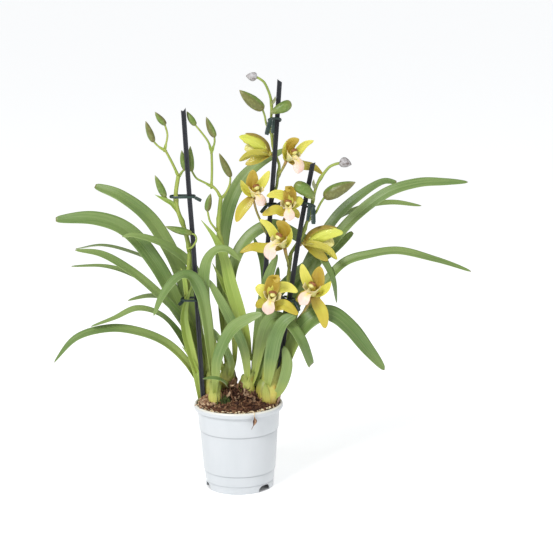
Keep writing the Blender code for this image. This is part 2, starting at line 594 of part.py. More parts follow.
def flower_mesh(form, place, turn, scale):
    heart, column, blades = FLOWER_FORMS[form]
    heart = Vector(heart)
    middle = place(heart)
    meshes = [ellipsoid(middle, [HEART_RADIUS * scale] * 3, sides=8)]
    meshes.append(tube([middle, place(heart + Vector(column))], 2.4 * scale, 3.0 * scale))
    for width, face, route in blades:
        first = place(heart + Vector(route[0]))
        points = [middle.lerp(first, 0.15)] + [place(heart + Vector(p)) for p in route]
        meshes.append(blade(points, tepal_width(width * scale), (turn(face), turn(face)),
                            TEPAL_THICKNESS, TEPAL_FOLD, 11.0 * scale))
    return union(meshes)


def build_flowers():
    for number, form in enumerate(FLOWER_FORMS, start=1):
        for spike, place, turn, scale in (("middle", keep, keep, 1.0),
                                          ("right", twin, twin_direction, TWIN_SCALE)):
            add_object(f"{spike}_flower_{number}", flower_mesh(form, place, turn, scale), PETAL_YELLOW)


# ---------------------------------------------------------------- flower spikes

LEFT_SPIKE = {
    "stems": [   # radius at the start, radius at the end, route
        (3.4, 2.3, ((-49, 2, 100), (-49, 2, 118), (-51, 2, 137), (-54, 2, 158), (-60, 3, 179),
                    (-65, 4, 204), (-69, 4, 237), (-66, 4, 260), (-63, 5, 294), (-61, 5, 322),
                    (-68, 4, 356), (-75, 3, 377), (-77, 2, 398), (-73, 2, 423))),
        (1.9, 1.6, ((-73, 2, 423), (-82, 1, 443), (-90, 0, 459))),
        (1.3, 1.3, ((-89, 0.5, 457.5), (-97, -2, 462), (-101, -3, 466), (-104, -4, 470))),
        (1.3, 1.3, ((-90.2, 0.1, 456.5), (-87, 2, 469), (-86, 3, 478), (-89, 2, 491))),
        (1.5, 1.4, ((-73.8, 2.3, 420.5), (-68, 4, 428), (-64, 5, 431))),
        (1.6, 1.4, ((-76, 3, 378), (-85, 0, 387), (-91, -2, 397))),
        (1.5, 1.2, ((-61, 4, 320), (-63, -2, 326), (-57, -11, 330), (-51, -12, 339), (-52, -12, 346),
                    (-58, -12, 349))),
    ],
    "buds": [    # width, base, tip
        (8.5, (-104, -4, 470), (-113, -6, 496)),
        (8.0, (-89, 2, 491), (-101, 0, 507)),
        (8.0, (-64, 5, 431), (-68, 5, 456)),
        (9.0, (-91, -2, 397), (-103, -5, 425)),
        (9.0, (-58, -12, 349), (-91, -14, 359)),
    ],
    "bracts": [  # width, face, route
        (7.5, (0.3, -0.9, 0.3), ((-75, 3, 374), (-82, -1, 386), (-92, -5, 393), (-104, -8, 400))),
    ],
}

SECOND_SPIKE = {
    "stems": [
        (3.2, 2.3, ((8, 9, 100), (10, 9, 118), (14.5, 8.5, 141), (13, 8, 171), (10, 8, 206),
                    (4, 8, 240), (-5, 8, 275), (-14, 8, 315), (-22, 7, 347), (-21, 6, 369),
                    (-18, 5, 394))),
        (1.9, 1.8, ((-17.6, 5.3, 392.5), (-24, 5, 403), (-30, 5, 409))),
        (1.5, 1.3, ((-28.8, 5.2, 408), (-41, 5, 414), (-50, 7, 419), (-56, 8, 429))),
        (1.7, 1.6, ((-30.2, 4.7, 406.5), (-29, 4, 430), (-29, 3, 456))),
        (1.5, 1.2, ((-28.6, 3.3, 454), (-33, 1, 467), (-41, 0, 479), (-50, 1, 490))),
        (1.4, 1.3, ((-29.4, 2.8, 453), (-25, 4, 465), (-25, 5, 474))),
        (1.6, 1.3, ((-18.5, 5, 391), (-11, 4, 400), (-6, 3, 411), (-5, 2, 422))),
        (1.6, 1.3, ((-22, 7, 347), (-27, 2, 353), (-33, -1, 363), (-36, -3, 378))),
    ],
    "buds": [
        (8.5, (-56, 8, 429), (-57, 9, 461)),
        (8.0, (-50, 1, 490), (-60, 3, 507)),
        (9.0, (-25, 5, 474), (-35, 5, 499)),
        (9.0, (-5, 2, 422), (-19, 0, 452)),
        (8.5, (-36, -3, 378), (-31, -5, 400)),
    ],
    "bracts": [
        (17.0, (0.1, -1.0, 0.1), ((13, 8, 171), (9, 3, 206), (2, 1, 240), (-7, 1, 275), (-16, 1, 315),
                                  (-28, -1, 342), (-44, -6, 365))),
        (8.0, (0.5, -0.9, 0.1), ((4, 8, 240), (-10, 4, 262), (-21, 2, 285), (-31, 0, 306))),
    ],
}

FLOWERING_SPIKE = {   # drawn for the middle spike; the right spike is its twin
    "stems": [
        (2.7, 1.6, ((44, 20, 339), (47, 19, 370), (50, 19, 389), (55, 18, 404), (57, 17, 419),
                    (59, 17, 432), (56, 18, 442), (51, 19, 457), (50, 18, 471), (49, 17, 486),
                    (49.5, 14, 499), (50, 11, 513), (48, 9, 526), (42, 7, 541), (36, 6, 547),
                    (28, 6, 551))),
        (1.5, 1.3, ((50, 18, 474), (43.5, 12, 486), (41, 6, 499), (38, 3, 509))),
        (1.4, 1.3, ((49.5, 13, 503), (51, 6, 503), (58, 3, 504), (66, 0, 508), (72, -4, 514))),
        (1.5, 2.1, ((56, 18, 440), (53, 19, 443.5), (50, 19, 446))),
        (1.4, 2.2, ((57, 17, 417), (61, 11, 425), (65, 6, 433), (68, 1, 440))),
        (1.5, 1.6, ((44.4, 19.6, 338.5), (38, 18, 346), (33, 9, 361), (28, 1, 376), (24.5, -6.5, 393))),
        (1.5, 2.2, ((43.6, 20.3, 341.5), (52, 18, 342), (59, 8, 352), (66, 0, 366), (69, -6, 375))),
    ],
    "buds": [
        (7.5, (29, 6, 551), (18, 5, 551.5)),
        (15.0, (38, 3, 509), (9, -3, 534)),
        (13.5, (74, -4, 516), (49, -8, 506)),
    ],
    "bracts": [
        (5.0, (0.2, -0.9, 0.3), ((50, 10, 514), (54, 7, 520), (55, 5, 525))),
    ],
}

LOWER_STEMS = {   # the stretch below the flowering part, from inside the mix upwards
    "middle_spike": ((20, 24, 100), (20, 24, 118), (25, 21, 150), (31, 20, 203), (36, 20, 251),
                     (41, 20, 303)),
    "right_spike": ((38, 12, 100), (38, 12, 120), (45, 15, 150), (54, 17, 180)),
}

SPIKES = {   # what is drawn, how its points, directions and sizes are changed
    "left_spike": (LEFT_SPIKE, keep, keep, 1.0),
    "second_spike": (SECOND_SPIKE, keep, keep, 1.0),
    "middle_spike": (FLOWERING_SPIKE, keep, keep, 1.0),
    "right_spike": (FLOWERING_SPIKE, twin, twin_direction, TWIN_SCALE),
}


def bract_width(widest):
    return lambda share: widest * max(0.12, math.sin(math.pi * (0.22 + 0.76 * share)))


def main_stem(spike, place, scale, lower, grow=0.0):
    start, end, route = spike["stems"][0]
    points = [Vector(p) for p in lower] + [place(p) for p in route]
    return tube(points, start * scale + grow, end * scale + grow, 27.0)


def spike_mesh(spike, place, turn, scale, lower=()):
    meshes = []
    for i, (start, end, route) in enumerate(spike["stems"]):
        points = [place(p) for p in route]
        if i == 0:
            meshes.append(main_stem(spike, place, scale, lower))
        else:
            meshes.append(tube(points, start * scale, end * scale, 12.0))
    for width, face, route in spike["bracts"]:
        meshes.append(blade([place(p) for p in route], bract_width(width * scale),
                            (turn(face), turn(face)), 1.2, 0.3, 14.0))
    for width, base, tip in spike["buds"]:
        meshes.append(spindle(place(base), place(tip), width * scale))
    return union(meshes)


def build_spikes():
    for name, (spike, place, turn, scale) in SPIKES.items():
        mesh = spike_mesh(spike, place, turn, scale, LOWER_STEMS.get(name, ()))
        if spike is FLOWERING_SPIKE:
            for heart, _, _ in FLOWER_FORMS.values():
                radius = HEART_RADIUS * scale
                mesh = boolean(mesh, ellipsoid(place(heart), [radius] * 3, CLEARANCE, 8), "DIFFERENCE")
        add_object(name, mesh, STEM_GREEN)


# ---------------------------------------------------------------- clips

CLIP_WIRE_RADIUS = 1.0
CLIPS = {   # name: (middle of the ring, half sizes and rise, levers as start, end and width)
    "left_top_clip": ((-68, -0.5, 396), (16.5, 8.4, 0), (((-51.5, -5, 395), (-43.5, -7, 391), 4.5),)),
    "left_low_clip": ((-60, -0.5, 258), (13.5, 9.2, 0), (((-70, -5, 258), (-76, -9, 252), 4.5),)),
    "top_clip": ((54, 13.2, 493), (8.2, 7.6, -3), (((48, 7.0, 494), (43, 2.5, 475), 6.0),
                                                     ((52.5, 5.9, 495.5), (50.5, 2.5, 477), 4.5))),
    "low_clip": ((48.5, 14.2, 381), (6.8, 8.5, 0), (((56, 9, 381), (63, 5, 386), 4.5),
                                                  ((42, 9, 381), (34, 5, 372), 4.5))),
}
TWIN_CLIPS = {"top_clip": "right_top_clip", "low_clip": "right_low_clip"}


def clip_mesh(design, place):
    """A closed wire ring round stake and stem, with flat finger levers."""
    (x, y, z), (reach_x, reach_y, rise), levers = design
    loop = []
    for i in range(12):
        turn = math.tau * i / 12
        c, s = math.cos(turn), math.sin(turn)
        loop.append(place((x + reach_x * math.copysign(abs(c) ** 0.7, c),
                           y + reach_y * math.copysign(abs(s) ** 0.7, s), z + rise * s)))
    meshes = [ring_mesh(loop)]
    for start, end, width in levers:
        start, end = place(start), place(end)
        along = (end - start).normalized()
        side = along.cross(Vector((0, 1, 0))).normalized()
        depth = along.cross(side)
        rings = []
        for middle, share in ((start - along * 1.5, 0.5), (start + along * 2, 1.0), (end, 0.8)):
            rings.append([middle + side * a * width * share / 2 + depth * b * 0.8
                          for a, b in ((-1, -1), (1, -1), (1, 1), (-1, 1))])
        meshes.append(loft(rings, "lever"))
    return union(meshes)


def ring_mesh(loop):
    """A closed loop of wire with a five-sided section."""
    bm = bmesh.new()
    count = len(loop)
    centre = sum(loop, Vector()) / count
    rows = []
    for i, place in enumerate(loop):
        along = (loop[(i + 1) % count] - loop[i - 1]).normalized()
        out = (place - centre).normalized()
        up = along.cross(out).normalized()
        out = up.cross(along)
        row = []
        for k in range(5):
            turn = math.tau * k / 5
            row.append(bm.verts.new(place + (out * math.cos(turn) + up * math.sin(turn)) * CLIP_WIRE_RADIUS))
        rows.append(row)
    for i in range(count):
        for k in range(5):
            a, b = rows[i], rows[(i + 1) % count]
            bm.faces.new((a[k], a[(k + 1) % 5], b[(k + 1) % 5], b[k]))
    return mesh_from(bm, "ring")


def build_clips():
    for name, design in CLIPS.items():
        if name in TWIN_CLIPS:
            add_object("middle_" + name, clip_mesh(design, keep), CLIP_PLASTIC)
            add_object(TWIN_CLIPS[name], clip_mesh(design, twin), CLIP_PLASTIC)
        else:
            add_object(name, clip_mesh(design, keep), CLIP_PLASTIC)


# ---------------------------------------------------------------- potting mix

def mix_surface(x, y):
    radius = math.hypot(x, y)
    heap_x, heap_y, heap_radius, heap_height = MIX_HEAP
    heap = heap_height * math.exp(-((x - heap_x) ** 2 + (y - heap_y) ** 2) / heap_radius ** 2)
    mound = MIX_MOUND * (1 - (radius / 54) ** 2)
    lumps = MIX_ROUGHNESS * noise.noise(Vector((x / 7, y / 7, 3.0)))
    return MIX_EDGE_Z + mound + heap + lumps


def build_mix():
    """The mix fills the pot from its dished floor up to an uneven, mounded top."""
    floor = POT_FLOOR_Z + POT_WALL + CLEARANCE + 0.1
    below = [(POT_DISH_RADIUS - 2.6, POT_WALL + 0.4), (POT_DISH_RADIUS + 0.6, floor),
             (POT_FOOT_RADIUS - 1.4, floor), (46.0, 24.0), (50.5, 79.0), (53.3, 106.0)]
    top_radius = 53.5
    bm = bmesh.new()

    def ring(radius, height):
        row = []
        for i in range(MIX_SIDES):
            turn = math.tau * i / MIX_SIDES
            x, y = radius * math.cos(turn), radius * math.sin(turn)
            row.append(bm.verts.new((x, y, height if height else mix_surface(x, y))))
        return row

    rows = [ring(radius, height) for radius, height in below]
    rows += [ring(top_radius * (1 - i / MIX_RINGS), None) for i in range(MIX_RINGS)]
    for lower, upper in zip(rows, rows[1:]):
        for i in range(MIX_SIDES):
            j = (i + 1) % MIX_SIDES
            bm.faces.new((lower[i], lower[j], upper[j], upper[i]))
    for row, height in ((rows[0], POT_WALL + 0.4), (rows[-1], mix_surface(0, 0))):
        pole = bm.verts.new((0, 0, height))
        for i in range(MIX_SIDES):
            bm.faces.new((row[i], row[(i + 1) % MIX_SIDES], pole))
    mix = mesh_from(bm, "mix")

    for centre, radii in BULBS.values():
        mix = boolean(mix, ellipsoid(centre, radii, CLEARANCE), "DIFFERENCE")
    pockets = []
    for slant, route in STAKES.values():
        foot = Vector(route[0])
        deeper = foot + (foot - Vector(route[1])).normalized()
        pockets.append(stake_mesh(slant, (deeper, *route[1:]), CLEARANCE))
    for name, (spike, place, _, scale) in SPIKES.items():
        pockets.append(main_stem(spike, place, scale, LOWER_STEMS.get(name, ()), CLEARANCE))
    for pocket in pockets:
        pocket.transform(Matrix.Translation((0, 0, -CLEARANCE * MM)))
        mix = boolean(mix, pocket, "DIFFERENCE")
    add_object("potting_mix", mix, BARK)


build_pot()
build_bulbs()
build_leaves()
build_stakes()
build_spikes()
build_flowers()
build_clips()
build_mix()
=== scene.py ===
"""Looks for a potted miniature cymbidium orchid: pot, mix, growths, leaves, stakes, spikes, flowers, clips.

Routes and sizes below are in millimetres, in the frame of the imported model; meshes are made in metres.
"""

import math
import random

import bmesh
import bpy
from mathutils import Matrix, Vector, noise


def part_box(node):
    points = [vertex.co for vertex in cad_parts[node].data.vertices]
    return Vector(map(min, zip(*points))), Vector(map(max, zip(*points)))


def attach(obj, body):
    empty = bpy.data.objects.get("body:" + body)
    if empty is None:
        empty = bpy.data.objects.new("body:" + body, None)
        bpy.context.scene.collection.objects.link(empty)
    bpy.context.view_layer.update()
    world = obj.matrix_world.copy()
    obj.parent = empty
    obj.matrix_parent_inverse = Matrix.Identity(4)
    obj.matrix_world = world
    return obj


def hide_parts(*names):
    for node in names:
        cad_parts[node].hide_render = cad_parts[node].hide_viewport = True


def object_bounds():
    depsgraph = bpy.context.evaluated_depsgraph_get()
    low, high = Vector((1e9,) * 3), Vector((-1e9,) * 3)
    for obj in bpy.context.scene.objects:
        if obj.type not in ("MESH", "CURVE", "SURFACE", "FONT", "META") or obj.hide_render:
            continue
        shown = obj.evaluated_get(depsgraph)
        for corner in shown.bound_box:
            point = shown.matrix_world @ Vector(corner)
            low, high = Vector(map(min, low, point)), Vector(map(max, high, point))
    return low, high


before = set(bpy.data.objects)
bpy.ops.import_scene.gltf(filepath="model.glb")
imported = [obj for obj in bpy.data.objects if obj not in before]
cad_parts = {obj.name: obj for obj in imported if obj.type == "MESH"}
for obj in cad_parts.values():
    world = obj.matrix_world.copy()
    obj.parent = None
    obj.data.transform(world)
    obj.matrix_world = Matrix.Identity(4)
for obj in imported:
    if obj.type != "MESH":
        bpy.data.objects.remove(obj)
cad_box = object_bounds()

# ---------------------------------------------------------------- studio
# A plain pale table under even daylight: one broad light from the upper left, a weaker one from the
# right and a bright surround, so that the plant throws next to no shadow. All places are in metres.

TABLE_REACH = 60.0
TABLE_GLOW = 0.42
GLOW_FROM_AXIS = ((0.0435, 0.0), (0.0455, 1.0))   # no glow under the pot's foot, a painted shadow there; all of it outside
KEY_LIGHT = ((-1.1, -1.7, 1.9), 0.9, 46)          # place, size, watts
FILL_LIGHT = ((1.7, -1.3, 1.1), 1.2, 5)
CAMERA_PLACE = Vector((0.0534, -2.2, 0.7548))
CAMERA_AIM = Vector((0.0534, 0, 0.287))
CAMERA_ROLL = math.radians(-0.79)


def set_out(name, data):
    """A new object in the scene."""
    thing = bpy.data.objects.new(name, data)
    bpy.context.scene.collection.objects.link(thing)
    return thing


corners = ((-TABLE_REACH, -TABLE_REACH, 0), (TABLE_REACH, -TABLE_REACH, 0),
           (TABLE_REACH, TABLE_REACH, 0), (-TABLE_REACH, TABLE_REACH, 0))
table_top = bpy.data.meshes.new("table")
table_top.from_pydata(corners, [], [(0, 1, 2, 3)])
set_out("table", table_top)

table_paint = bpy.data.materials.new("table_paint")
table_paint.use_nodes = True
paint_nodes, paint_links = table_paint.node_tree.nodes, table_paint.node_tree.links
paint = paint_nodes["Principled BSDF"]
paint.inputs["Base Color"].default_value = (0.93, 0.93, 0.93, 1)
paint.inputs["Roughness"].default_value = 0.9
paint.inputs["Specular IOR Level"].default_value = 0.1
paint.inputs["Emission Strength"].default_value = TABLE_GLOW
# The table's glow stops at the pot's foot, which leaves a painted shadow under the pot.
spot = paint_nodes.new("ShaderNodeTexCoord")
away = paint_nodes.new("ShaderNodeVectorMath")
away.operation = "LENGTH"
glow = paint_nodes.new("ShaderNodeValToRGB")
for band, (distance, grey) in zip(glow.color_ramp.elements, GLOW_FROM_AXIS):
    band.position = distance
    band.color = (grey, grey, grey, 1.0)
paint_links.new(spot.outputs["Object"], away.inputs[0])
paint_links.new(away.outputs["Value"], glow.inputs["Fac"])
paint_links.new(glow.outputs["Color"], paint.inputs["Emission Color"])
table_top.materials.append(table_paint)

surround = bpy.data.worlds.new("surround")
bpy.context.scene.world = surround
surround.use_nodes = True
sky = surround.node_tree.nodes["Background"]
sky.inputs["Color"].default_value = (0.96, 0.98, 1.0, 1)
sky.inputs["Strength"].default_value = 0.60


def hang_light(name, place, size, watts):
    """A round, soft light that points at the middle of the plant."""
    lamp = bpy.data.lights.new(name, "AREA")
    lamp.shape, lamp.size, lamp.energy = "DISK", size, watts
    holder = set_out(name, lamp)
    holder.location = place
    aim = (cad_box[0] + cad_box[1]) / 2 - Vector(place)
    holder.rotation_euler = aim.to_track_quat("-Z", "Y").to_euler()


hang_light("key_light", *KEY_LIGHT)
hang_light("fill_light", *FILL_LIGHT)

# The camera looks slightly down on the pot from 2.2 m away.
lens = bpy.data.cameras.new("camera")
lens.sensor_width = 36
lens.lens = 110.76
lens.clip_end = 200
camera = set_out("camera", lens)
camera.location = CAMERA_PLACE
sight = (CAMERA_AIM - CAMERA_PLACE).to_track_quat("-Z", "Y").to_matrix()
camera.rotation_euler = (sight @ Matrix.Rotation(CAMERA_ROLL, 3, "Z")).to_euler()
bpy.context.scene.camera = camera

# Colours are shown as they are, with no film curve over them.
bpy.context.scene.view_settings.view_transform = "Standard"

# ---------------------------------------------------------------- grower pot
# A thin polypropylene pot, injection moulded in one shot: a rolled lip, two small steps down the
# wall, a raised floor with drain holes and three arches through the foot so that water can run out.

MM = 0.001
pot_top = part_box("grower_pot")[1]
POT_HEIGHT = pot_top.z / MM
LIP_RADIUS = pot_top.x / MM
POT_WALL = 1.3
FLOOR_Z = 9.6
DISH_RADIUS = 16.0
FOOT_RADIUS = 45.5
FOOT_ARCHES = (-42.0, 78.0, 198.0)      # degrees round from +X
ARCH = ((-11, -1), (-10.1, 4.7), (-7.5, 7.3), (-3.5, 8.5), (3.5, 8.5), (7.5, 7.3), (10.1, 4.7), (11, -1))
DRAIN_HOLES = 6
DRAIN_RADIUS, DRAIN_CIRCLE = 4, 31      # of each hole, and of the circle that they lie on


class Finish:
    """A procedural material: one Principled shader, and short ways to give it patterns."""

    def __init__(self, name, roughness, gloss=0.5):
        self.material = bpy.data.materials.new(name)
        self.material.use_nodes = True
        self.nodes = self.material.node_tree.nodes
        self.links = self.material.node_tree.links
        self.shader = self.nodes["Principled BSDF"]
        self.shader.inputs["Roughness"].default_value = roughness
        self.shader.inputs["Specular IOR Level"].default_value = gloss

    def feed(self, socket, value):
        """Links a pattern to a socket, or sets the socket to a number or a colour."""
        if isinstance(value, bpy.types.NodeSocket):
            self.links.new(value, socket)
        else:
            socket.default_value = (*value, 1.0) if isinstance(value, tuple) else value

    def place(self, stretch=(1, 1, 1), name=None):
        """Where a point lies: in the model's frame in metres, or as a named value of the mesh."""
        if name:
            source = self.nodes.new("ShaderNodeAttribute")
            source.attribute_name = name
            where = source.outputs["Vector"]
        else:
            where = self.nodes.new("ShaderNodeTexCoord").outputs["Object"]
        mapping = self.nodes.new("ShaderNodeMapping")
        mapping.inputs["Scale"].default_value = stretch
        self.links.new(where, mapping.inputs["Vector"])
        return mapping.outputs["Vector"]

    def part(self, axis, name=None):
        """One of the three numbers of a place or of a named value."""
        split = self.nodes.new("ShaderNodeSeparateXYZ")
        self.links.new(self.place(name=name), split.inputs["Vector"])
        return split.outputs[axis]

    def speckle(self, scale, detail=3, stretch=(1, 1, 1), name=None):
        """Cloudy spots; the larger the scale, the finer they are."""
        cloud = self.nodes.new("ShaderNodeTexNoise")
        self.links.new(self.place(stretch, name), cloud.inputs["Vector"])
        cloud.inputs["Scale"].default_value = scale
        cloud.inputs["Detail"].default_value = detail
        cloud.inputs["Roughness"].default_value = 0.55
        return cloud.outputs["Fac"]

    def shades(self, factor, *stops):
        """A colour, or a grey level, for each value of the factor, from (value, colour) stops."""
        ramp = self.nodes.new("ShaderNodeValToRGB")
        self.links.new(factor, ramp.inputs["Fac"])
        bands = ramp.color_ramp.elements
        while len(bands) < len(stops):
            bands.new(0.5)
        for band, (value, colour) in zip(bands, stops):
            band.position = value
            colour = colour if isinstance(colour, tuple) else (colour,) * 3
            band.color = (*colour, 1.0)
        return ramp.outputs["Color"]

    def over(self, share, below, above):
        """The second colour laid over the first by a share from 0 to 1."""
        blend = self.nodes.new("ShaderNodeMix")
        blend.data_type = "RGBA"
        self.feed(blend.inputs["Factor"], share)
        self.feed(blend.inputs[6], below)
        self.feed(blend.inputs[7], above)
        return blend.outputs[2]

    def wash(self, below, above, factor, *stops):
        """The second colour laid over the first, by a share for each value of the factor."""
        return self.over(self.shades(factor, *stops), below, above)

    def reckon(self, operation, first, second=0.0):
        """A sum of the two, kept between 0 and 1."""
        step = self.nodes.new("ShaderNodeMath")
        step.operation = operation
        step.use_clamp = True
        self.feed(step.inputs[0], first)
        self.feed(step.inputs[1], second)
        return step.outputs[0]

    def colour(self, value):
        self.feed(self.shader.inputs["Base Color"], value)

    def roughness(self, value):
        self.feed(self.shader.inputs["Roughness"], value)

    def relief(self, height, depth):
        """Small relief from a grey level; depth is in metres."""
        bump = self.nodes.new("ShaderNodeBump")
        bump.inputs["Strength"].default_value = 1.0
        bump.inputs["Distance"].default_value = depth
        self.links.new(height, bump.inputs["Height"])
        self.links.new(bump.outputs["Normal"], self.shader.inputs["Normal"])

    def let_light_in(self, share, depths):
        """Light that goes in and comes out again nearby; depths for red, green, blue in metres."""
        self.shader.inputs["Subsurface Weight"].default_value = share
        self.shader.inputs["Subsurface Radius"].default_value = depths


def finish_piece(mesh, finish, node):
    """Puts a mesh in the scene as a piece that stands for that CAD node."""
    mesh.materials.append(finish.material)
    piece = set_out(mesh.name, mesh)
    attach(piece, "root")
    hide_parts(node)


def as_mesh(name, drawing):
    """Ends a drawing made with bmesh."""
    mesh = bpy.data.meshes.new(name)
    drawing.to_mesh(mesh)
    drawing.free()
    return mesh


def carve(name, mesh, cutters):
    """The mesh with each cutter taken out of it."""
    body = set_out("body", mesh)
    tools = [set_out("cutter", cutter) for cutter in cutters]
    for tool in tools:
        cut = body.modifiers.new("cut", "BOOLEAN")
        cut.operation = "DIFFERENCE"
        cut.solver = "EXACT"
        cut.object = tool
    result = bpy.data.meshes.new_from_object(body.evaluated_get(bpy.context.evaluated_depsgraph_get()))
    for leftover in (body, *tools):
        bpy.data.objects.remove(leftover)
    result.name = name
    result.materials.clear()
    return result


def turned_mesh(name, profile, steps):
    """A profile of (radius, height) turned once round the pot's axis."""
    outline = bmesh.new()
    points = [outline.verts.new((r * MM, 0, z * MM)) for r, z in profile]
    edges = [outline.edges.new(pair) for pair in zip(points, points[1:])]
    bmesh.ops.spin(outline, geom=points + edges, axis=(0, 0, 1), cent=(0, 0, 0), steps=steps,
                   angle=math.tau, use_merge=True)
    bmesh.ops.remove_doubles(outline, verts=outline.verts, dist=0.00002)
    bmesh.ops.recalc_face_normals(outline, faces=outline.faces)
    return as_mesh(name, outline)


def foot_arch(degrees):
    """A block the shape of one arch, set across the wall of the foot."""
    arch = bmesh.new()
    rows = [[arch.verts.new((reach * MM, x * MM, z * MM)) for x, z in ARCH]
            for reach in (FOOT_RADIUS - 5, FOOT_RADIUS + 5)]
    for i in range(len(ARCH)):
        j = (i + 1) % len(ARCH)
        arch.faces.new((rows[0][i], rows[0][j], rows[1][j], rows[1][i]))
    for row in rows:
        arch.faces.new(row)
    bmesh.ops.recalc_face_normals(arch, faces=arch.faces)
    arch.transform(Matrix.Rotation(math.radians(degrees), 4, "Z"))
    return as_mesh("arch", arch)


def drain_hole(number):
    """A short drill through the raised floor."""
    turn = math.tau * number / DRAIN_HOLES
    drill = bmesh.new()
    bmesh.ops.create_cone(drill, cap_ends=True, segments=24, radius1=DRAIN_RADIUS * MM,
                          radius2=DRAIN_RADIUS * MM, depth=6 * MM)
    bmesh.ops.translate(drill, verts=drill.verts, vec=(
        DRAIN_CIRCLE * MM * math.cos(turn), DRAIN_CIRCLE * MM * math.sin(turn), (FLOOR_Z + 0.6) * MM))
    return as_mesh("drill", drill)


neck = POT_HEIGHT - 10
rim = POT_HEIGHT - 2.6
lip = [(LIP_RADIUS - inward, z) for inward, z in (
    (3.6, rim - 0.5), (3.1, rim - 0.1), (2.4, rim), (1.5, rim - 0.4), (0.7, rim - 1.3), (0.2, rim - 2.6),
    (0, rim - 4.0), (0.3, neck + 1.6), (1.0, neck + 0.3), (2.0, neck))]
wall = [(55.3, neck + 0.6), (55.0, neck - 0.8), (54.3, 96), (53.5, 81.6), (53.3, 81.0), (52.1, 80.7),
        (51.9, 80.0), (52.2, 79.3), (50.9, 60), (49.5, 40), (48.7, 26.1), (48.5, 25.4), (47.5, 25.1),
        (47.3, 24.5), (47.6, 23.8), (46.9, 17), (46.3, 11.2), (46.1, 10.6), (45.4, 10.4), (45.3, 9.9),
        (45.75, 9.3), (45.6, 1.0), (45.2, 0.0)]
floor_top = FLOOR_Z + POT_WALL
inside = [(0, POT_WALL), (DISH_RADIUS - 1.3, POT_WALL), (DISH_RADIUS + 1.3, floor_top),
          (44.8, floor_top), (46.4, 24), (51.0, 79), (53.4, 107), (55.9, rim - 2.0),
          (LIP_RADIUS - 3.9, rim - 1.1)]
underside = [(44.0, 0.0), (44.0, FLOOR_Z), (DISH_RADIUS + 2.6, FLOOR_Z), (DISH_RADIUS, 0.0), (0, 0)]
pot = turned_mesh("turned_pot", inside + lip + wall + underside, 128)
cutters = [foot_arch(a) for a in FOOT_ARCHES] + [drain_hole(i) for i in range(DRAIN_HOLES)]
pot = carve("pot_shell", pot, cutters)
pot.shade_smooth()
pot.set_sharp_from_angle(angle=math.radians(38))

# The plastic is slightly cloudy, with a fine satin skin. Painted shade darkens the corner of each step,
# the underside and the inside of the foot; a painted highlight makes the lip pale and creamy; and there
# are a few specks of peat dust.
pot_plastic = Finish("pot_plastic", 0.32)
cloudy = pot_plastic.speckle(28, stretch=(1, 1, 0.35))
tone = pot_plastic.shades(cloudy, (0.3, (0.525, 0.55, 0.57)), (0.7, (0.57, 0.59, 0.61)))
dust = pot_plastic.shades(pot_plastic.speckle(330, 1), (0.795, 0.0), (0.83, 1.0))
rare = pot_plastic.shades(pot_plastic.speckle(60), (0.56, 0.0), (0.62, 1.0))
dusty = pot_plastic.reckon("MULTIPLY", dust, rare)
height = pot_plastic.reckon("MULTIPLY", pot_plastic.part(2), 8.0)          # 1 at 125 mm up
# painted shade: a grey line in the corner of each step
tone = pot_plastic.wash(tone, (0.30, 0.32, 0.34), height, (0.072, 0.0), (0.082, 0.25), (0.092, 0.0),
                        (0.186, 0.0), (0.197, 0.45), (0.210, 0.0), (0.628, 0.0), (0.641, 0.45),
                        (0.656, 0.0))
# painted highlight: the lip and the wall above about 113 mm are paler and creamier
tone = pot_plastic.wash(tone, (0.80, 0.77, 0.68), height, (0.905, 0.0), (0.922, 0.8))
# painted shade: darker over the underside and the inside of the foot
across, along = pot_plastic.part(0), pot_plastic.part(1)
radius = pot_plastic.reckon("ADD", pot_plastic.reckon("MULTIPLY", across, across),
                            pot_plastic.reckon("MULTIPLY", along, along))
radius = pot_plastic.reckon("MULTIPLY", radius, 400.0)                      # squared, 1 at 50 mm out
inner = pot_plastic.shades(radius, (0.776, 0.8), (0.80, 0.0))
under = pot_plastic.reckon("MULTIPLY", inner, pot_plastic.shades(height, (0.070, 1.0), (0.080, 0.0)))
tone = pot_plastic.over(under, tone, (0.16, 0.17, 0.18))
pot_plastic.colour(pot_plastic.over(dusty, tone, (0.25, 0.20, 0.15)))
pot_plastic.roughness(pot_plastic.shades(cloudy, (0.3, 0.28), (0.7, 0.38)))
pot_plastic.relief(pot_plastic.speckle(1400, 2), 0.00002)
pot_plastic.let_light_in(0.12, (0.003, 0.003, 0.003))
finish_piece(pot, pot_plastic, "grower_pot")

# ---------------------------------------------------------------- potting mix
# Coarse bark chips over dark, fibrous peat, heaped a little at the left. It fills the pot loosely,
# and a few chips, root fibres and cream-coloured bits of perlite lie along the rim.

MIX_EDGE = 112.6                        # height of the mix along the wall
HEAP = (-42.0, -14.0, 12.0, 8.0)        # x, y, radius and height above the rest
BED_WALL = ((13.2, 1.7), (16.4, 11.4), (44.0, 11.4), (45.6, 24), (50.2, 79), (52.9, 106))   # radius, height
BED_RADIUS, BED_SIDES, BED_RINGS = 53.2, 144, 40
CHIP_REACH, FIBRE_REACH = 51.5, 51


def mix_height(x, y, rough=1.0):
    heap_x, heap_y, heap_radius, heap_rise = HEAP
    heap = heap_rise * math.exp(-((x - heap_x) ** 2 + (y - heap_y) ** 2) / heap_radius ** 2)
    mound = 11.5 * math.sqrt(max(0.0, 1 - (math.hypot(x, y) / 54) ** 2))
    lumps = 1.6 * noise.noise(Vector((x / 7, y / 7, 3.0)))
    crumbs = 0.9 * noise.noise(Vector((x / 2.2, y / 2.2, 9.0))) + 0.5 * noise.noise(Vector((x, y, 1.0)))
    return MIX_EDGE + mound + heap + lumps + crumbs * rough


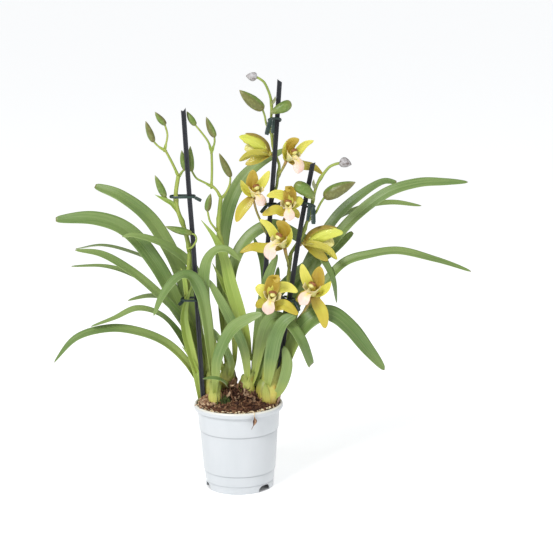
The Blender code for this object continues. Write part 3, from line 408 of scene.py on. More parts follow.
def bed_mesh():
    """One closed body: over the pot's floor, up inside its wall, and lumpy across the top."""
    bed = bmesh.new()
    made = []
    top = [(BED_RADIUS * (1 - k / BED_RINGS), None) for k in range(BED_RINGS)]
    for radius, height in (*BED_WALL, *top):
        ring = []
        for i in range(BED_SIDES):
            x, y = (radius * wave(math.tau * i / BED_SIDES) for wave in (math.cos, math.sin))
            ring.append(bed.verts.new((x * MM, y * MM, (height or mix_height(x, y)) * MM)))
        made.append(ring)
    for lower, upper in zip(made, made[1:]):
        for i in range(BED_SIDES):
            j = (i + 1) % BED_SIDES
            bed.faces.new((lower[i], lower[j], upper[j], upper[i]))
    for ring, height in ((made[0], BED_WALL[0][1]), (made[-1], mix_height(0, 0))):
        pole = bed.verts.new((0, 0, height * MM))
        for i in range(BED_SIDES):
            bed.faces.new((ring[i], ring[(i + 1) % BED_SIDES], pole))
    bmesh.ops.recalc_face_normals(bed, faces=bed.faces)
    mesh = as_mesh("peat_bed", bed)
    mesh.shade_smooth()
    return mesh


def add_to_mix(mesh, finish):
    finish_piece(mesh, finish, "potting_mix")


def name_values(mesh, name, values):
    """Stores three numbers for each vertex, for a material to read by name."""
    store = mesh.attributes.new(name, "FLOAT_VECTOR", "POINT")
    store.data.foreach_set("vector", [number for triple in values for number in triple])


peat = Finish("peat", 0.95, gloss=0.2)
crumb = peat.speckle(620)
earth = peat.shades(peat.speckle(90, 4), (0.32, (0.030, 0.012, 0.007)), (0.55, (0.090, 0.036, 0.020)),
                    (0.72, (0.19, 0.090, 0.048)))
peat.colour(peat.wash(earth, (0.27, 0.15, 0.08), crumb, (0.45, 0.0), (0.72, 0.55)))
peat.relief(crumb, 0.0012)
add_to_mix(bed_mesh(), peat)


def chip_solid(luck, size, flatness):
    """The corners and faces of one broken bark chip about its own middle."""
    lump = bmesh.new()
    bmesh.ops.create_icosphere(lump, subdivisions=1, radius=0.5)
    stretch = Vector((luck.uniform(0.8, 1.5), luck.uniform(0.55, 0.95), luck.uniform(0.25, 0.6) * flatness))
    spin = Matrix.Rotation(luck.uniform(0, math.tau), 3, "Z") @ Matrix.Rotation(
        luck.gauss(0, 0.5), 3, "X") @ Matrix.Rotation(luck.gauss(0, 0.4), 3, "Y")
    for corner in lump.verts:
        rough = luck.uniform(0.72, 1.18)
        corner.co = spin @ Vector(a * b * rough * size for a, b in zip(corner.co, stretch))
    lump.verts.index_update()
    corners = [corner.co.copy() for corner in lump.verts]
    faces = [[corner.index for corner in face.verts] for face in lump.faces]
    lump.free()
    return corners, faces


def scatter(name, luck, count, where, sizes, flatness, tone_at):
    """Chips dropped over the bed as one mesh, each with its own tone."""
    corners, faces, tones = [], [], []
    for _ in range(count):
        x, y = where(luck)
        size = luck.uniform(*sizes)
        tone = tone_at(x, luck)
        points, sides = chip_solid(luck, size, flatness)
        lift = mix_height(x, y, 0.5) + size * luck.uniform(-0.05, 0.22)
        faces += [[i + len(corners) for i in side] for side in sides]
        corners += [(p + Vector((x, y, lift))) * MM for p in points]
        tones += [(tone, luck.random(), 0.0)] * len(points)
    mesh = bpy.data.meshes.new(name)
    mesh.from_pydata(corners, [], faces)
    mesh.validate()
    name_values(mesh, "chip", tones)
    return mesh


def anywhere(luck):
    radius, turn = CHIP_REACH * math.sqrt(luck.random()), luck.uniform(0, math.tau)
    return radius * math.cos(turn), radius * math.sin(turn)


def on_the_heap(luck):
    return HEAP[0] + luck.gauss(0, 6.5), HEAP[1] + luck.gauss(0, 7.5)


def along_the_rim(luck):
    turn = math.radians(luck.uniform(196, 350))
    radius = luck.uniform(51.0, 55.8)
    return radius * math.cos(turn), radius * math.sin(turn)


def bark_tone(x, luck):
    """Lighter chips towards the left; darker ones towards the right."""
    return min(1.0, max(0.0, 0.34 - x / 80 + luck.gauss(0, 0.27)))


def clouded_finish(name, roughness, gloss, scale, detail, depth, *stops):
    """A finish whose colour varies in soft spots, as the stops say, with relief of that depth."""
    finish = Finish(name, roughness, gloss)
    spots = finish.speckle(scale, detail)
    finish.colour(finish.shades(spots, *stops))
    if depth:
        finish.relief(spots, depth)
    return finish


bark = Finish("bark", 0.85, gloss=0.3)
plates = bark.speckle(420, stretch=(1, 1, 3))
bark_colour = bark.shades(bark.part(0, "chip"), (0.0, (0.030, 0.010, 0.006)), (0.35, (0.105, 0.038, 0.018)),
                          (0.7, (0.29, 0.150, 0.080)), (1.0, (0.62, 0.43, 0.27)))
bark.colour(bark.wash(bark_colour, (0.07, 0.028, 0.015), plates, (0.4, 0.0), (0.62, 0.6)))
bark.relief(plates, 0.0006)
perlite = clouded_finish("perlite_and_husk", 0.8, 0.3, 500, 3, 0.0005, (0.35, (0.55, 0.36, 0.17)),
                         (0.6, (0.86, 0.74, 0.52)))
CHIPS = (   # finish, name, source of chance, how many, where, smallest and largest, flatness, tone
    (bark, "bark_chips", random.Random(4), 620, anywhere, (2.2, 7.5), 1.1, bark_tone),
    (bark, "bark_heap", random.Random(9), 170, on_the_heap, (3.0, 7.5), 1.2,
     lambda x, luck: luck.uniform(0.5, 1.0)),
    (perlite, "cream_husks", random.Random(21), 170, along_the_rim, (1.8, 4.6), 0.7, lambda x, luck: 1.0),
)
for finish, *chips in CHIPS:
    add_to_mix(scatter(*chips), finish)


def smooth_route(points, spacing):
    """Evenly spaced places, directions and shares of the way on a smooth curve through the points."""
    knots = [Vector(p) for p in points]
    knots = [2 * knots[0] - knots[1], *knots, 2 * knots[-1] - knots[-2]]
    fine = []
    for a, b, c, d in zip(knots, knots[1:], knots[2:], knots[3:]):
        for i in range(24):
            t = i / 24
            fine.append(0.5 * (2 * b + (c - a) * t + (2 * a - 5 * b + 4 * c - d) * t * t
                               + (3 * b - a - 3 * c + d) * t ** 3))
    fine.append(knots[-2])
    travelled = [0.0]
    for a, b in zip(fine, fine[1:]):
        travelled.append(travelled[-1] + (b - a).length)
    count = max(3, round(travelled[-1] / spacing))
    places, k = [], 0
    for i in range(count + 1):
        goal = travelled[-1] * i / count
        while k < len(fine) - 2 and travelled[k + 1] < goal:
            k += 1
        share = (goal - travelled[k]) / (travelled[k + 1] - travelled[k])
        places.append(fine[k].lerp(fine[k + 1], min(1.0, share)))
    ahead = [*places[1:], 2 * places[-1] - places[-2]]
    behind = [2 * places[0] - places[1], *places[:-1]]
    ways = [(a - b).normalized() for a, b in zip(ahead, behind)]
    return places, ways, [i / count for i in range(count + 1)]


def skin(rows):
    """Faces over rows of points that run round, closed at both ends. Returns points and faces."""
    count = len(rows[0])
    points = [point for row in rows for point in row]
    faces = []
    for start in range(0, len(points) - count, count):
        for i in range(count):
            j = (i + 1) % count
            faces.append((start + i, start + j, start + count + j, start + count + i))
    faces.append(tuple(range(count - 1, -1, -1)))
    faces.append(tuple(range(len(points) - count, len(points))))
    return points, faces


def stem(points, radius_at, sides, spacing):
    """A round stem along a route, with its shares of the way for each point."""
    places, ways, shares = smooth_route(points, spacing)
    across = ways[0].orthogonal().normalized()
    rows, values = [], []
    for place, way, share in zip(places, ways, shares):
        across = (across - way * across.dot(way)).normalized()
        other = way.cross(across)
        radius = radius_at(share)
        rows.append([place + (across * math.cos(math.tau * i / sides)
                              + other * math.sin(math.tau * i / sides)) * radius for i in range(sides)])
        values += [(i / sides, share, 0.0) for i in range(sides)]
    return (*skin(rows), values)


def join_parts(name, parts, value_name=None):
    """One mesh from several (points, faces, values) parts drawn in millimetres."""
    corners, faces = [], []
    for points, sides, _ in parts:
        faces += [[i + len(corners) for i in side] for side in sides]
        corners += [p * MM for p in points]
    mesh = bpy.data.meshes.new(name)
    mesh.from_pydata(corners, [], faces)
    if value_name:
        name_values(mesh, value_name, [triple for _, _, values in parts for triple in values])
    mesh.shade_smooth()
    return mesh


def fibre(luck):
    """A short, dead root or peat fibre lying on the mix and curling up at one end."""
    x, y = anywhere(luck)
    turn = luck.uniform(0, math.tau)
    points = []
    for _ in range(4):
        x, y = x + 3.2 * math.cos(turn), y + 3.2 * math.sin(turn)
        if math.hypot(x, y) > FIBRE_REACH:
            x, y = x * 0.94, y * 0.94
        turn += luck.gauss(0, 0.5)
        points.append((x, y, mix_height(x, y, 0.4) + luck.uniform(0.2, 2.6)))
    size = luck.uniform(0.25, 0.6)
    return stem(points, lambda share: size * (1 - 0.7 * share), 5, 1.6)


root_brown = clouded_finish("root_fibres", 0.8, 0.3, 240, 3, 0, (0.35, (0.12, 0.048, 0.022)),
                            (0.6, (0.40, 0.23, 0.115)))
luck = random.Random(33)
add_to_mix(join_parts("root_fibres", [fibre(luck) for _ in range(210)]), root_brown)


def curl(luck):
    """A dry, torn scrap of old sheath that curls away from the foot of the middle growths."""
    x, y = luck.uniform(-27, 27), luck.uniform(-26, -9)
    climb = 1 - abs(x + 3) / 34
    z = mix_height(x, y) + luck.uniform(-1.5, 27) * climb * luck.random() ** 0.7
    y += max(0.0, z - 125) * 0.25
    turn, tilt = luck.uniform(0, math.tau), luck.gauss(0.35, 0.6)
    step, bend = luck.uniform(1.2, 3.0), luck.gauss(0, 0.55)
    points = [Vector((x, y, z))]
    for _ in range(5):
        points.append(points[-1] + step * Vector((math.cos(turn) * math.cos(tilt),
                                                  math.sin(turn) * math.cos(tilt), math.sin(tilt))))
        turn += bend
        tilt += luck.gauss(0.1, 0.45)
    face = Vector((luck.gauss(0, 0.5), -1, luck.gauss(0.3, 0.5))).normalized()
    half = luck.uniform(0.5, 1.7)
    tone = min(1.0, max(0.0, luck.gauss(0.46, 0.32)))
    rows, values = [], []
    for place, way, share in zip(*smooth_route(points, 1.4)):
        side = way.cross(face).normalized()
        up = side.cross(way)
        reach = half * (0.35 + 0.65 * math.sin(math.pi * min(1.0, 0.15 + 0.8 * share)))
        rows.append([place + side * reach * a + up * (reach * 0.5 * abs(a) + b)
                     for a, b in ((-1, 0.12), (0, 0.2), (1, 0.12), (1, -0.12), (0, -0.2), (-1, -0.12))])
        values += [(tone, share, 0.0)] * 6
    return (*skin(rows), values)


luck = random.Random(61)
add_to_mix(join_parts("dry_curls", [curl(luck) for _ in range(330)], "chip"), bark)

# A cream husk strand with a brown chip on it hangs over the rim at the front right.
strand = stem(((17, -50, 116.5), (20, -55.0, 118.2), (22, -59.4, 116.6), (21.6, -60.9, 112)),
              lambda share: 0.8 - 0.3 * share, 6, 1.0)
add_to_mix(join_parts("husk_strand", [strand]), perlite)
flake = stem(((21.8, -60.9, 113.6), (22.4, -60.2, 110), (22.6, -58.6, 106), (21.4, -57.7, 101.5),
              (19.4, -56.9, 97.5), (18.0, -56.6, 94.2)),
             lambda share: 0.35 + 2.3 * math.sin(math.pi * min(1.0, share * 1.25)) ** 2, 8, 0.8)
add_to_mix(join_parts("hanging_chip", [flake], "chip"), bark)

# A small tuft of dark moss stands at the front left.
MOSS_X, MOSS_Y = -19, -24


def moss_blade(luck):
    turn, lean = luck.uniform(0, math.tau), luck.uniform(0.15, 0.9)
    x, y = MOSS_X + luck.gauss(0, 4.2), MOSS_Y + luck.gauss(0, 3.4)
    base = mix_height(x, y) - 1
    tall = luck.uniform(5, 13.5)
    points = []
    for i in range(4):
        out = lean * tall * (i / 3) ** 1.7
        points.append((x + out * math.cos(turn), y + out * math.sin(turn), base + tall * (i / 3) ** 0.8))
    size = luck.uniform(0.35, 0.9)
    return stem(points, lambda share: size * (1.05 - share), 5, 1.6)


moss = clouded_finish("moss", 0.8, 0.3, 300, 3, 0, (0.35, (0.030, 0.050, 0.012)),
                      (0.65, (0.12, 0.16, 0.040)))
luck = random.Random(12)
add_to_mix(join_parts("moss_tuft", [moss_blade(luck) for _ in range(90)]), moss)

# ---------------------------------------------------------------- stakes
# Three flat stakes of extruded, dark slate plastic with a groove down the front and the back. They
# are pushed down between the roots to hold the flower spikes up, and their tops are cut aslant.

STAKES = {   # slant of the cut, depth of its notch, route from foot to top
    "left_stake": (0.5, 0.9, ((-40, -4, 60), (-44, -4, 100), (-47.5, -4, 130), (-51, -4, 217),
                              (-55, -4, 325), (-59, -4, 398), (-64, -4, 508))),
    "middle_stake": (-0.6, 0.0, ((12, 12, 55), (23, 12, 152), (30, 12, 213), (38, 12, 284),
                                 (50, 12, 409), (57, 12, 493), (61, 12, 544))),
    "right_stake": (0.5, 0.0, ((38, 9, 55), (46, 9, 104), (50, 9, 129), (58, 9, 173), (67, 9, 232),
                               (82, 9, 326), (89, 9, 367), (103, 9, 436))),
}
QUARTER = [(3.15, 0.0), (3.15, 1.15), (2.98, 1.5), (2.6, 1.7), (1.95, 1.7), (1.7, 1.52), (1.45, 1.7),
           (1.15, 1.7), (0.72, 1.35), (0.45, 0.8)]   # from the edge to the groove
UPPER = QUARTER + [(-x, y) for x, y in reversed(QUARTER[1:])]
STAKE_OUTLINE = UPPER + [(-3.15, 0.0)] + [(-x, -y) for x, y in UPPER[1:]]


def stake_part(slant, notch, route):
    rows = []
    for place, way, share in zip(*smooth_route(route, 6.0)):
        side = Vector((0, 1, 0)).cross(way).normalized()
        depth = way.cross(side)
        top = share == 1.0
        rows.append([place + side * x + depth * y + way * (slant * x + notch * abs(x)) * top
                     for x, y in STAKE_OUTLINE])
    return (*skin(rows), ())


stake_plastic = Finish("stake_plastic", 0.4)
drag = stake_plastic.speckle(1, stretch=(900, 900, 9))
scuff = stake_plastic.speckle(130, 5, stretch=(1, 1, 0.3))
slate = stake_plastic.shades(drag, (0.3, (0.009, 0.010, 0.014)), (0.7, (0.019, 0.021, 0.028)))
stake_plastic.colour(stake_plastic.wash(slate, (0.06, 0.065, 0.075), scuff, (0.60, 0.0), (0.72, 0.35)))
stake_plastic.roughness(stake_plastic.shades(scuff, (0.4, 0.34), (0.7, 0.55)))
stake_plastic.relief(drag, 0.00006)
for name, stake in STAKES.items():
    bar = join_parts(name + "_bar", [stake_part(*stake)])
    bar.set_sharp_from_angle(angle=math.radians(30))
    finish_piece(bar, stake_plastic, name)

# ---------------------------------------------------------------- growths
# Seven swollen growths of green tissue stand half out of the mix on a buried rhizome. Each is ribbed,
# and wrapped in the clasping bases of its leaves, which turn yellow and then brown as they dry.

BULBS = {   # middle and half sizes
    "left_bulb": ((-36, 8, 128), (11, 11, 24)),
    "back_left_bulb": ((-29, 31, 127), (10, 10, 22)),
    "front_shoot": ((-31, -18, 123), (8, 8, 18)),
    "middle_bulb": ((-14, 3, 138), (10.5, 10.5, 33)),
    "centre_bulb": ((9, -6, 126), (11, 11, 26)),
    "right_bulb": ((38, -7, 128), (14, 13.5, 24)),
    "back_right_bulb": ((33, 30, 127), (9.5, 9.5, 22)),
}
BULB_LEVELS, BULB_SIDES = 30, 44
SHEATHS = {   # way each faces, half its spread, foot and tip height, where the tip leans, papery or not
    "left_bulb": ((-80, 95, 112, 160, (-3, 0), 0), (110, 90, 112, 165, (-8, 6), 0),
                  (200, 50, 112, 143, (-6, 0), 1)),
    "back_left_bulb": ((-90, 100, 112, 158, (-7, 0), 0), (90, 90, 112, 150, (-4, 4), 1)),
    "front_shoot": ((-128, 85, 108, 152, (-1, -1), 0), (-40, 75, 108, 148, (3, -2), 0)),
    "middle_bulb": ((-60, 60, 112, 152, (4, -5), 1), (100, 100, 112, 172, (2, 6), 0),
                    (-150, 60, 112, 148, (-4, -2), 0)),
    "centre_bulb": ((-125, 90, 114, 158, (3, 0), 0), (-40, 75, 114, 162, (6, 0), 0),
                    (-82, 45, 112, 139, (-1, -3), 1), (90, 90, 112, 152, (2, 3), 1)),
    "right_bulb": ((-128, 88, 112, 172, (6, -1), 0), (-35, 85, 112, 176, (18, 2), 0),
                   (-92, 21, 113, 147, (-1, -3), 0), (80, 100, 112, 160, (10, 8), 0),
                   (5, 40, 113, 146, (5, 0), 1)),
    "back_right_bulb": ((-90, 100, 112, 160, (5, -2), 0), (80, 90, 112, 156, (6, 5), 0)),
}
SHEATH_LEVELS, SHEATH_CELLS = 26, 14


def bulb_part(centre, radii, seed):
    rows, values = [], []
    for k in range(BULB_LEVELS + 1):
        rise = -1 + 2 * k / BULB_LEVELS
        girth = math.sqrt(max(0.0, 1 - abs(rise) ** (2.0 if rise < 0 else 2.3))) + 0.02
        row = []
        for i in range(BULB_SIDES):
            turn = math.tau * i / BULB_SIDES
            ribs = 1 + 0.03 * math.cos(8 * turn + seed) + 0.015 * math.cos(19 * turn)
            row.append(Vector(centre) + Vector((radii[0] * girth * ribs * math.cos(turn),
                                                radii[1] * girth * ribs * math.sin(turn),
                                                radii[2] * rise)))
            values.append((turn, (rise + 1) / 2, seed))
        rows.append(row)
    return (*skin(rows), values)


bulb_skin = Finish("bulb_skin", 0.45)
mottle = bulb_skin.speckle(160, stretch=(1, 1, 0.3))
bulb_green = bulb_skin.shades(bulb_skin.part(1, "bulb"), (0.45, (0.30, 0.15, 0.035)),
                              (0.6, (0.44, 0.39, 0.075)), (0.85, (0.27, 0.32, 0.075)))
bulb_skin.colour(bulb_skin.wash(bulb_green, (0.18, 0.22, 0.06), mottle, (0.4, 0.0), (0.75, 0.5)))
bulb_skin.relief(mottle, 0.0004)
for seed, (name, (centre, radii)) in enumerate(BULBS.items()):
    finish_piece(join_parts(name + "_body", [bulb_part(centre, radii, seed)], "bulb"), bulb_skin,
                 name)


def there_and_back(cells):
    """Steps across the upper side of a thin blade, then back across its lower side."""
    steps = range(-cells, cells + 1)
    return [(True, k) for k in steps] + [(False, k) for k in reversed(steps)]


def sheath_part(growth, facing, spread, foot, tip, lean, papery, stand_off, luck):
    """A clasping leaf base: a curved shell round part of a growth that narrows to a free point."""
    (cx, cy, cz), (rx, ry, rz) = BULBS[growth]
    rows, values = [], []
    for k in range(SHEATH_LEVELS + 1):
        share = k / SHEATH_LEVELS
        z = foot + (tip - foot) * share
        rise = (z - cz) / rz
        girth = math.sqrt(max(0.0, 1 - rise * rise)) if rise < 0.8 else 0.6
        girth = max(girth, 0.42 + 0.18 * (1 - share))
        free = max(0.0, share - 0.55) / 0.45
        spread_here = math.radians(spread) * (1 - share ** 2.6) ** 0.75 + 0.03
        mid_x, mid_y = cx + lean[0] * share ** 1.6, cy + lean[1] * share ** 1.6
        row = []
        for outer, i in there_and_back(SHEATH_CELLS):
            u = i / SHEATH_CELLS
            turn = math.radians(facing) + spread_here * u
            crown = 0.6 - 0.4 * u * u if outer else 0.0
            ruffle = 0.5 * papery * noise.noise(Vector((u * 3, share * 5, facing)))
            rib = 0.22 * (1 - papery) * math.cos(26 * u * math.radians(spread)) if outer else 0.0
            off = stand_off + free * 0.8 + crown + ruffle + rib
            fray = luck.uniform(-1, 1) * papery * free * 2.0 if outer else 0
            row.append(Vector((mid_x + (rx * girth + off) * math.cos(turn),
                               mid_y + (ry * girth + off) * math.sin(turn), z + fray)))
            values.append((u, share, papery))
        rows.append(row)
    return (*skin(rows), values)


sheath_tissue = Finish("sheath_tissue", 0.5)
streaks = sheath_tissue.speckle(1.6, 4, (16, 0.8, 1), "sheath")
living = sheath_tissue.shades(sheath_tissue.part(1, "sheath"), (0.1, (0.36, 0.20, 0.04)),
                              (0.28, (0.54, 0.47, 0.085)), (0.6, (0.37, 0.40, 0.075)),
                              (1.0, (0.22, 0.30, 0.055)))
living = sheath_tissue.wash(living, (0.58, 0.55, 0.17), streaks, (0.42, 0.0), (0.66, 0.45))
living = sheath_tissue.wash(living, (0.50, 0.27, 0.04), sheath_tissue.speckle(75), (0.60, 0.0),
                            (0.70, 0.65))
paper = sheath_tissue.shades(streaks, (0.35, (0.10, 0.042, 0.022)), (0.5, (0.27, 0.14, 0.07)),
                             (0.7, (0.46, 0.31, 0.19)))
sheath_tissue.colour(sheath_tissue.over(sheath_tissue.part(2, "sheath"), living, paper))
sheath_tissue.relief(streaks, 0.0005)
luck = random.Random(5)
for growth, sheaths in SHEATHS.items():
    parts = [sheath_part(growth, *sheath, 0.3 + 0.75 * i, luck) for i, sheath in enumerate(sheaths)]
    finish_piece(join_parts(growth + "_sheaths", parts, "sheath"), sheath_tissue,
                 growth)

# ---------------------------------------------------------------- leaves
# Thirty strap leaves, leathery, smooth and folded along the midrib, which stands out as a keel below.
# Each grows from inside the clasping bases of its growth and arches over under its own weight.

POINTED, ROUNDED, CUT = 0.03, 0.25, 0.7      # share of the width that is left at the tip
LEAVES = {   # width, tip, faces from base to tip, route
    "left_leaf_1": (23, ROUNDED, ((0.6, -0.8, 0.2), (0.4, -0.8, 0.5), (0.3, -0.8, 0.5)),
        ((-37, 30, 125), (-44, 33, 147), (-53, 38, 193), (-66, 38, 250), (-85, 42, 306), (-115, 50, 356),
         (-153, 58, 387), (-189, 64, 401))),
    "left_leaf_2": (24, ROUNDED, ((0.5, -0.9, 0.2), (0.4, -0.8, 0.4), (0.1, -0.8, 0.6)),
        ((-37, 18, 130), (-46, 24, 150), (-60, 22, 197), (-82, 24, 249), (-109, 18, 305), (-143, 10, 349),
         (-183, -2, 368), (-234, -10, 369))),
    "left_leaf_3": (14, POINTED, ((0.7, -0.7, 0.1), (0.4, -0.7, 0.5), (0.1, -0.7, 0.7)),
        ((-38, 4, 132), (-42, 7, 153), (-41, 9, 208), (-45, 14, 258), (-54, 15, 290), (-68, 15, 310),
         (-98, 4, 333), (-130, -6, 346), (-148, -10, 345))),
    "left_leaf_4": (13, POINTED, ((0.6, -0.8, 0.2), (0.3, -0.2, 0.9), (0.1, -0.1, 1.0)),
        ((-34, 38, 124), (-47, 45, 146), (-64, 51, 211), (-83, 55, 256), (-111, 54, 294), (-144, 58, 311),
         (-182, 60, 320), (-218, 62, 316))),
    "left_leaf_5": (15, POINTED, ((0.6, -0.8, 0.1), (0.5, -0.6, 0.6), (0.2, -0.6, 0.7)),
        ((-41, 9, 132), (-46, 13, 145), (-56, 15, 190), (-79, 10, 236), (-108, 4, 268), (-140, -1, 298),
         (-175, -8, 321), (-210, -14, 329))),
    "left_leaf_6": (12, POINTED, ((0.6, -0.7, 0.2), (0.5, -0.4, 0.8), (0.1, -0.3, 0.9)),
        ((-35, 24, 122), (-46, 26, 142), (-60, 26, 189), (-84, 25, 233), (-113, 31, 267), (-143, 34, 286),
         (-180, 38, 296), (-222, 42, 296))),
    "left_leaf_7": (13, POINTED, ((0.6, -0.7, 0.2), (0.3, -0.4, 0.9), (-0.2, -0.4, 0.9)),
        ((-35, 36, 129), (-43, 39, 148), (-55, 42, 195), (-74, 42, 238), (-98, 44, 250), (-122, 52, 251),
         (-149, 58, 244))),
    "left_leaf_8": (13, POINTED, ((0.5, -0.8, 0.2), (0.2, -0.4, 0.9), (-0.4, -0.4, 0.8)),
        ((-40, 15, 128), (-47, 17, 138), (-61, 12, 175), (-79, 8, 209), (-102, 0, 237), (-131, -10, 248),
         (-161, -18, 237), (-191, -26, 229))),
    "left_leaf_9": (15, POINTED, ((0.5, -0.8, 0.3), (0.1, -0.6, 0.8), (-0.6, -0.5, 0.6)),
        ((-40, 9, 122), (-52, 10, 136), (-69, 2, 171), (-94, 4, 196), (-126, -6, 214), (-167, -18, 223),
         (-209, -30, 215), (-240, -38, 184))),
    "front_leaf_1": (19, POINTED, ((0.5, -0.9, 0.0), (0.6, -0.8, 0.0), (0.5, -0.6, 0.5), (-0.5, -0.5, 0.7),
            (-0.7, -0.7, 0.2)),
        ((-32, -19, 128), (-33, -20, 146), (-35, -22, 179), (-39, -24, 228), (-46, -25, 271),
         (-57, -30, 293), (-73, -36, 296), (-92, -42, 276), (-107, -46, 247))),
    "front_leaf_2": (17, POINTED, ((0.3, -0.9, 0.0), (0.4, -0.9, 0.1), (-0.2, -0.7, 0.7), (0.2, -0.5, 0.8)),
        ((-17, 1, 150), (-24, 0, 170), (-36, -3, 206), (-43, -12, 258), (-39, -15, 305), (-27, -18, 325),
         (-11, -22, 328), (7, -26, 314))),
    "front_leaf_3": (18, POINTED, ((-0.4, -0.9, 0.1), (-0.5, -0.8, 0.3), (-0.3, -0.9, 0.4)),
        ((-29, -21, 128), (-28, -27, 149), (-26, -30, 179), (-18, -35, 203), (-4, -40, 227), (16, -45, 241),
         (35, -49, 249))),
    "front_leaf_4": (10, POINTED, ((-0.1, -1.0, 0.1), (-0.2, -0.9, 0.1), (-0.3, -0.9, 0.1)),
        ((-11, -3, 150), (-8, -9, 166), (-13, -11, 188), (-24, -12, 207), (-33, -11, 221))),
    "front_leaf_5": (9, POINTED, ((0.9, -0.3, 0.0), (0.8, -0.3, 0.4), (0.3, -0.3, 0.9), (0.0, -0.4, 0.9)),
        ((-14, 0, 134), (-14, -10, 139), (-16, -26, 148), (-23, -41, 158), (-33, -44, 161),
         (-45, -46, 161))),
    "centre_leaf_1": (20, ROUNDED, ((0.1, -0.9, 0.0), (0.5, -0.8, 0.2), (-0.6, -0.7, 0.5)),
        ((-14, 6, 152), (-16, 11, 172), (-18, 24, 212), (-20, 32, 269), (-20, 38, 323), (-10, 44, 372),
         (8, 50, 407), (34, 56, 430), (67, 62, 447))),
    "centre_leaf_2": (20, POINTED, ((-0.3, -0.9, 0.0), (-0.5, -0.8, 0.1), (-0.3, -0.6, 0.7),
            (0.5, -0.7, 0.6), (0.9, -0.4, 0.3)),
        ((-9, 8, 150), (-3, 15, 172), (-3, 17, 216), (-8, 23, 271), (1, 28, 308), (21, 36, 336),
         (48, 34, 349), (76, 33, 337), (105, 35, 316), (126, 14, 283), (133, 7, 249))),
    "centre_leaf_3": (14, POINTED, ((-0.2, -0.9, 0.1), (0.2, -0.9, 0.2), (0.4, -0.9, 0.2)),
        ((10, -9, 136), (13, -11, 155), (9, -11, 190), (-4, -10, 222), (-19, -12, 254), (-37, -14, 288))),
    "centre_leaf_4": (17, POINTED, ((0.0, -1.0, 0.1), (-0.2, -0.9, 0.1), (-0.3, -0.9, 0.2)),
        ((14, 0, 134), (21, 2, 152), (27, 5, 190), (34, 8, 240), (43, 4, 285), (55, 4, 316))),
    "centre_leaf_5": (13, POINTED, ((-0.6, -0.8, 0.1), (-0.3, -0.9, 0.1), (-0.1, -0.9, 0.1)),
        ((15, -4, 132), (25, -3, 146), (32, -4, 177), (42, 0, 207), (48, 15, 228))),
    "centre_leaf_6": (12, POINTED, ((0.1, -0.9, 0.1), (0.2, -0.9, 0.1), (0.3, -0.9, 0.2)),
        ((30, 31, 132), (27, 33, 150), (33, 34, 207), (38, 33, 262), (35, 29, 301), (24, 25, 335))),
    "centre_leaf_7": (12, POINTED, ((0.0, -1.0, 0.1), (-0.2, -0.9, 0.1), (0.0, -0.9, 0.1)),
        ((32, 27, 134), (32, 26, 152), (40, 27, 215), (51, 27, 260), (56, 26, 295))),
    "right_leaf_1": (17, POINTED, ((-0.4, -0.9, 0.1), (-0.5, -0.8, 0.3), (-0.3, -0.8, 0.5),
            (0.0, -0.9, 0.4)),
        ((37, 27, 126), (48, 23, 152), (67, 25, 215), (91, 30, 265), (113, 41, 304), (134, 42, 330),
         (161, 43, 359), (203, 44, 390), (244, 46, 402), (280, 47, 403), (311, 48, 402))),
    "right_leaf_2": (16, ROUNDED, ((-0.4, -0.9, 0.1), (-0.5, -0.8, 0.4), (-0.2, -0.8, 0.6)),
        ((37, 31, 127), (47, 32, 155), (63, 40, 212), (84, 52, 265), (109, 64, 314), (136, 72, 353),
         (168, 78, 381), (198, 84, 398), (218, 86, 397))),
    "right_leaf_3": (12, POINTED, ((-0.4, -0.9, 0.1), (-0.5, -0.6, 0.6), (-0.2, -0.3, 0.9),
            (-0.1, -0.8, 0.6)),
        ((38, 33, 122), (50, 40, 143), (68, 54, 188), (86, 66, 242), (108, 78, 300), (133, 84, 344),
         (167, 89, 361), (211, 94, 368), (253, 94, 363))),
    "right_leaf_4": (18, ROUNDED, ((-0.1, -0.9, 0.1), (-0.5, -0.8, 0.3), (-0.5, -0.8, 0.3)),
        ((31, 35, 132), (31, 41, 152), (38, 43, 200), (52, 46, 248), (88, 50, 284), (126, 52, 308),
         (157, 54, 335))),
    "right_leaf_5": (15, POINTED, ((-0.5, -0.8, 0.1), (-0.5, -0.7, 0.4), (-0.1, -0.6, 0.8),
            (0.2, -0.5, 0.8)),
        ((45, 0, 124), (56, 1, 145), (72, 6, 186), (93, 13, 232), (118, 25, 270), (145, 25, 299),
         (178, 18, 311), (217, 12, 316), (263, 4, 306), (310, -4, 291))),
    "right_leaf_6": (28, POINTED, ((-0.6, -0.8, 0.1), (-0.6, -0.7, 0.2), (0.1, -0.5, 0.9),
            (0.4, -0.7, 0.6)),
        ((46, -6, 126), (58, -6, 143), (67, -6, 174), (81, -7, 209), (101, -12, 232), (124, -4, 235),
         (149, -16, 218), (172, -24, 191), (194, -30, 165))),
    "right_leaf_7": (18, CUT, ((0.0, -1.0, 0.1), (-0.2, -0.9, 0.1), (0.3, -0.6, 0.7), (0.7, -0.6, 0.3)),
        ((13, -8, 134), (21, -9, 151), (29, -7, 188), (38, -9, 220), (50, -12, 234), (68, -17, 227),
         (84, -28, 206), (97, -22, 171))),
    "right_leaf_8": (20, ROUNDED, ((0.2, -1.0, 0.0), (0.1, -1.0, 0.1), (-0.4, -0.8, 0.5)),
        ((38, -13, 134), (40, -19, 150), (44, -22, 180), (51, -24, 211), (62, -24, 231), (78, -22, 240))),
    "right_leaf_9": (15, POINTED, ((-0.2, -1.0, 0.0), (0.0, -1.0, 0.0), (0.2, -1.0, 0.0)),
        ((44, -12, 122), (54, -17, 134), (62, -17, 152), (66, -16, 173), (62, -15, 196))),
}
LEAF_BASE_WIDTH, LEAF_THICKNESS, LEAF_RIPPLE = 9.0, 1.1, 0.35


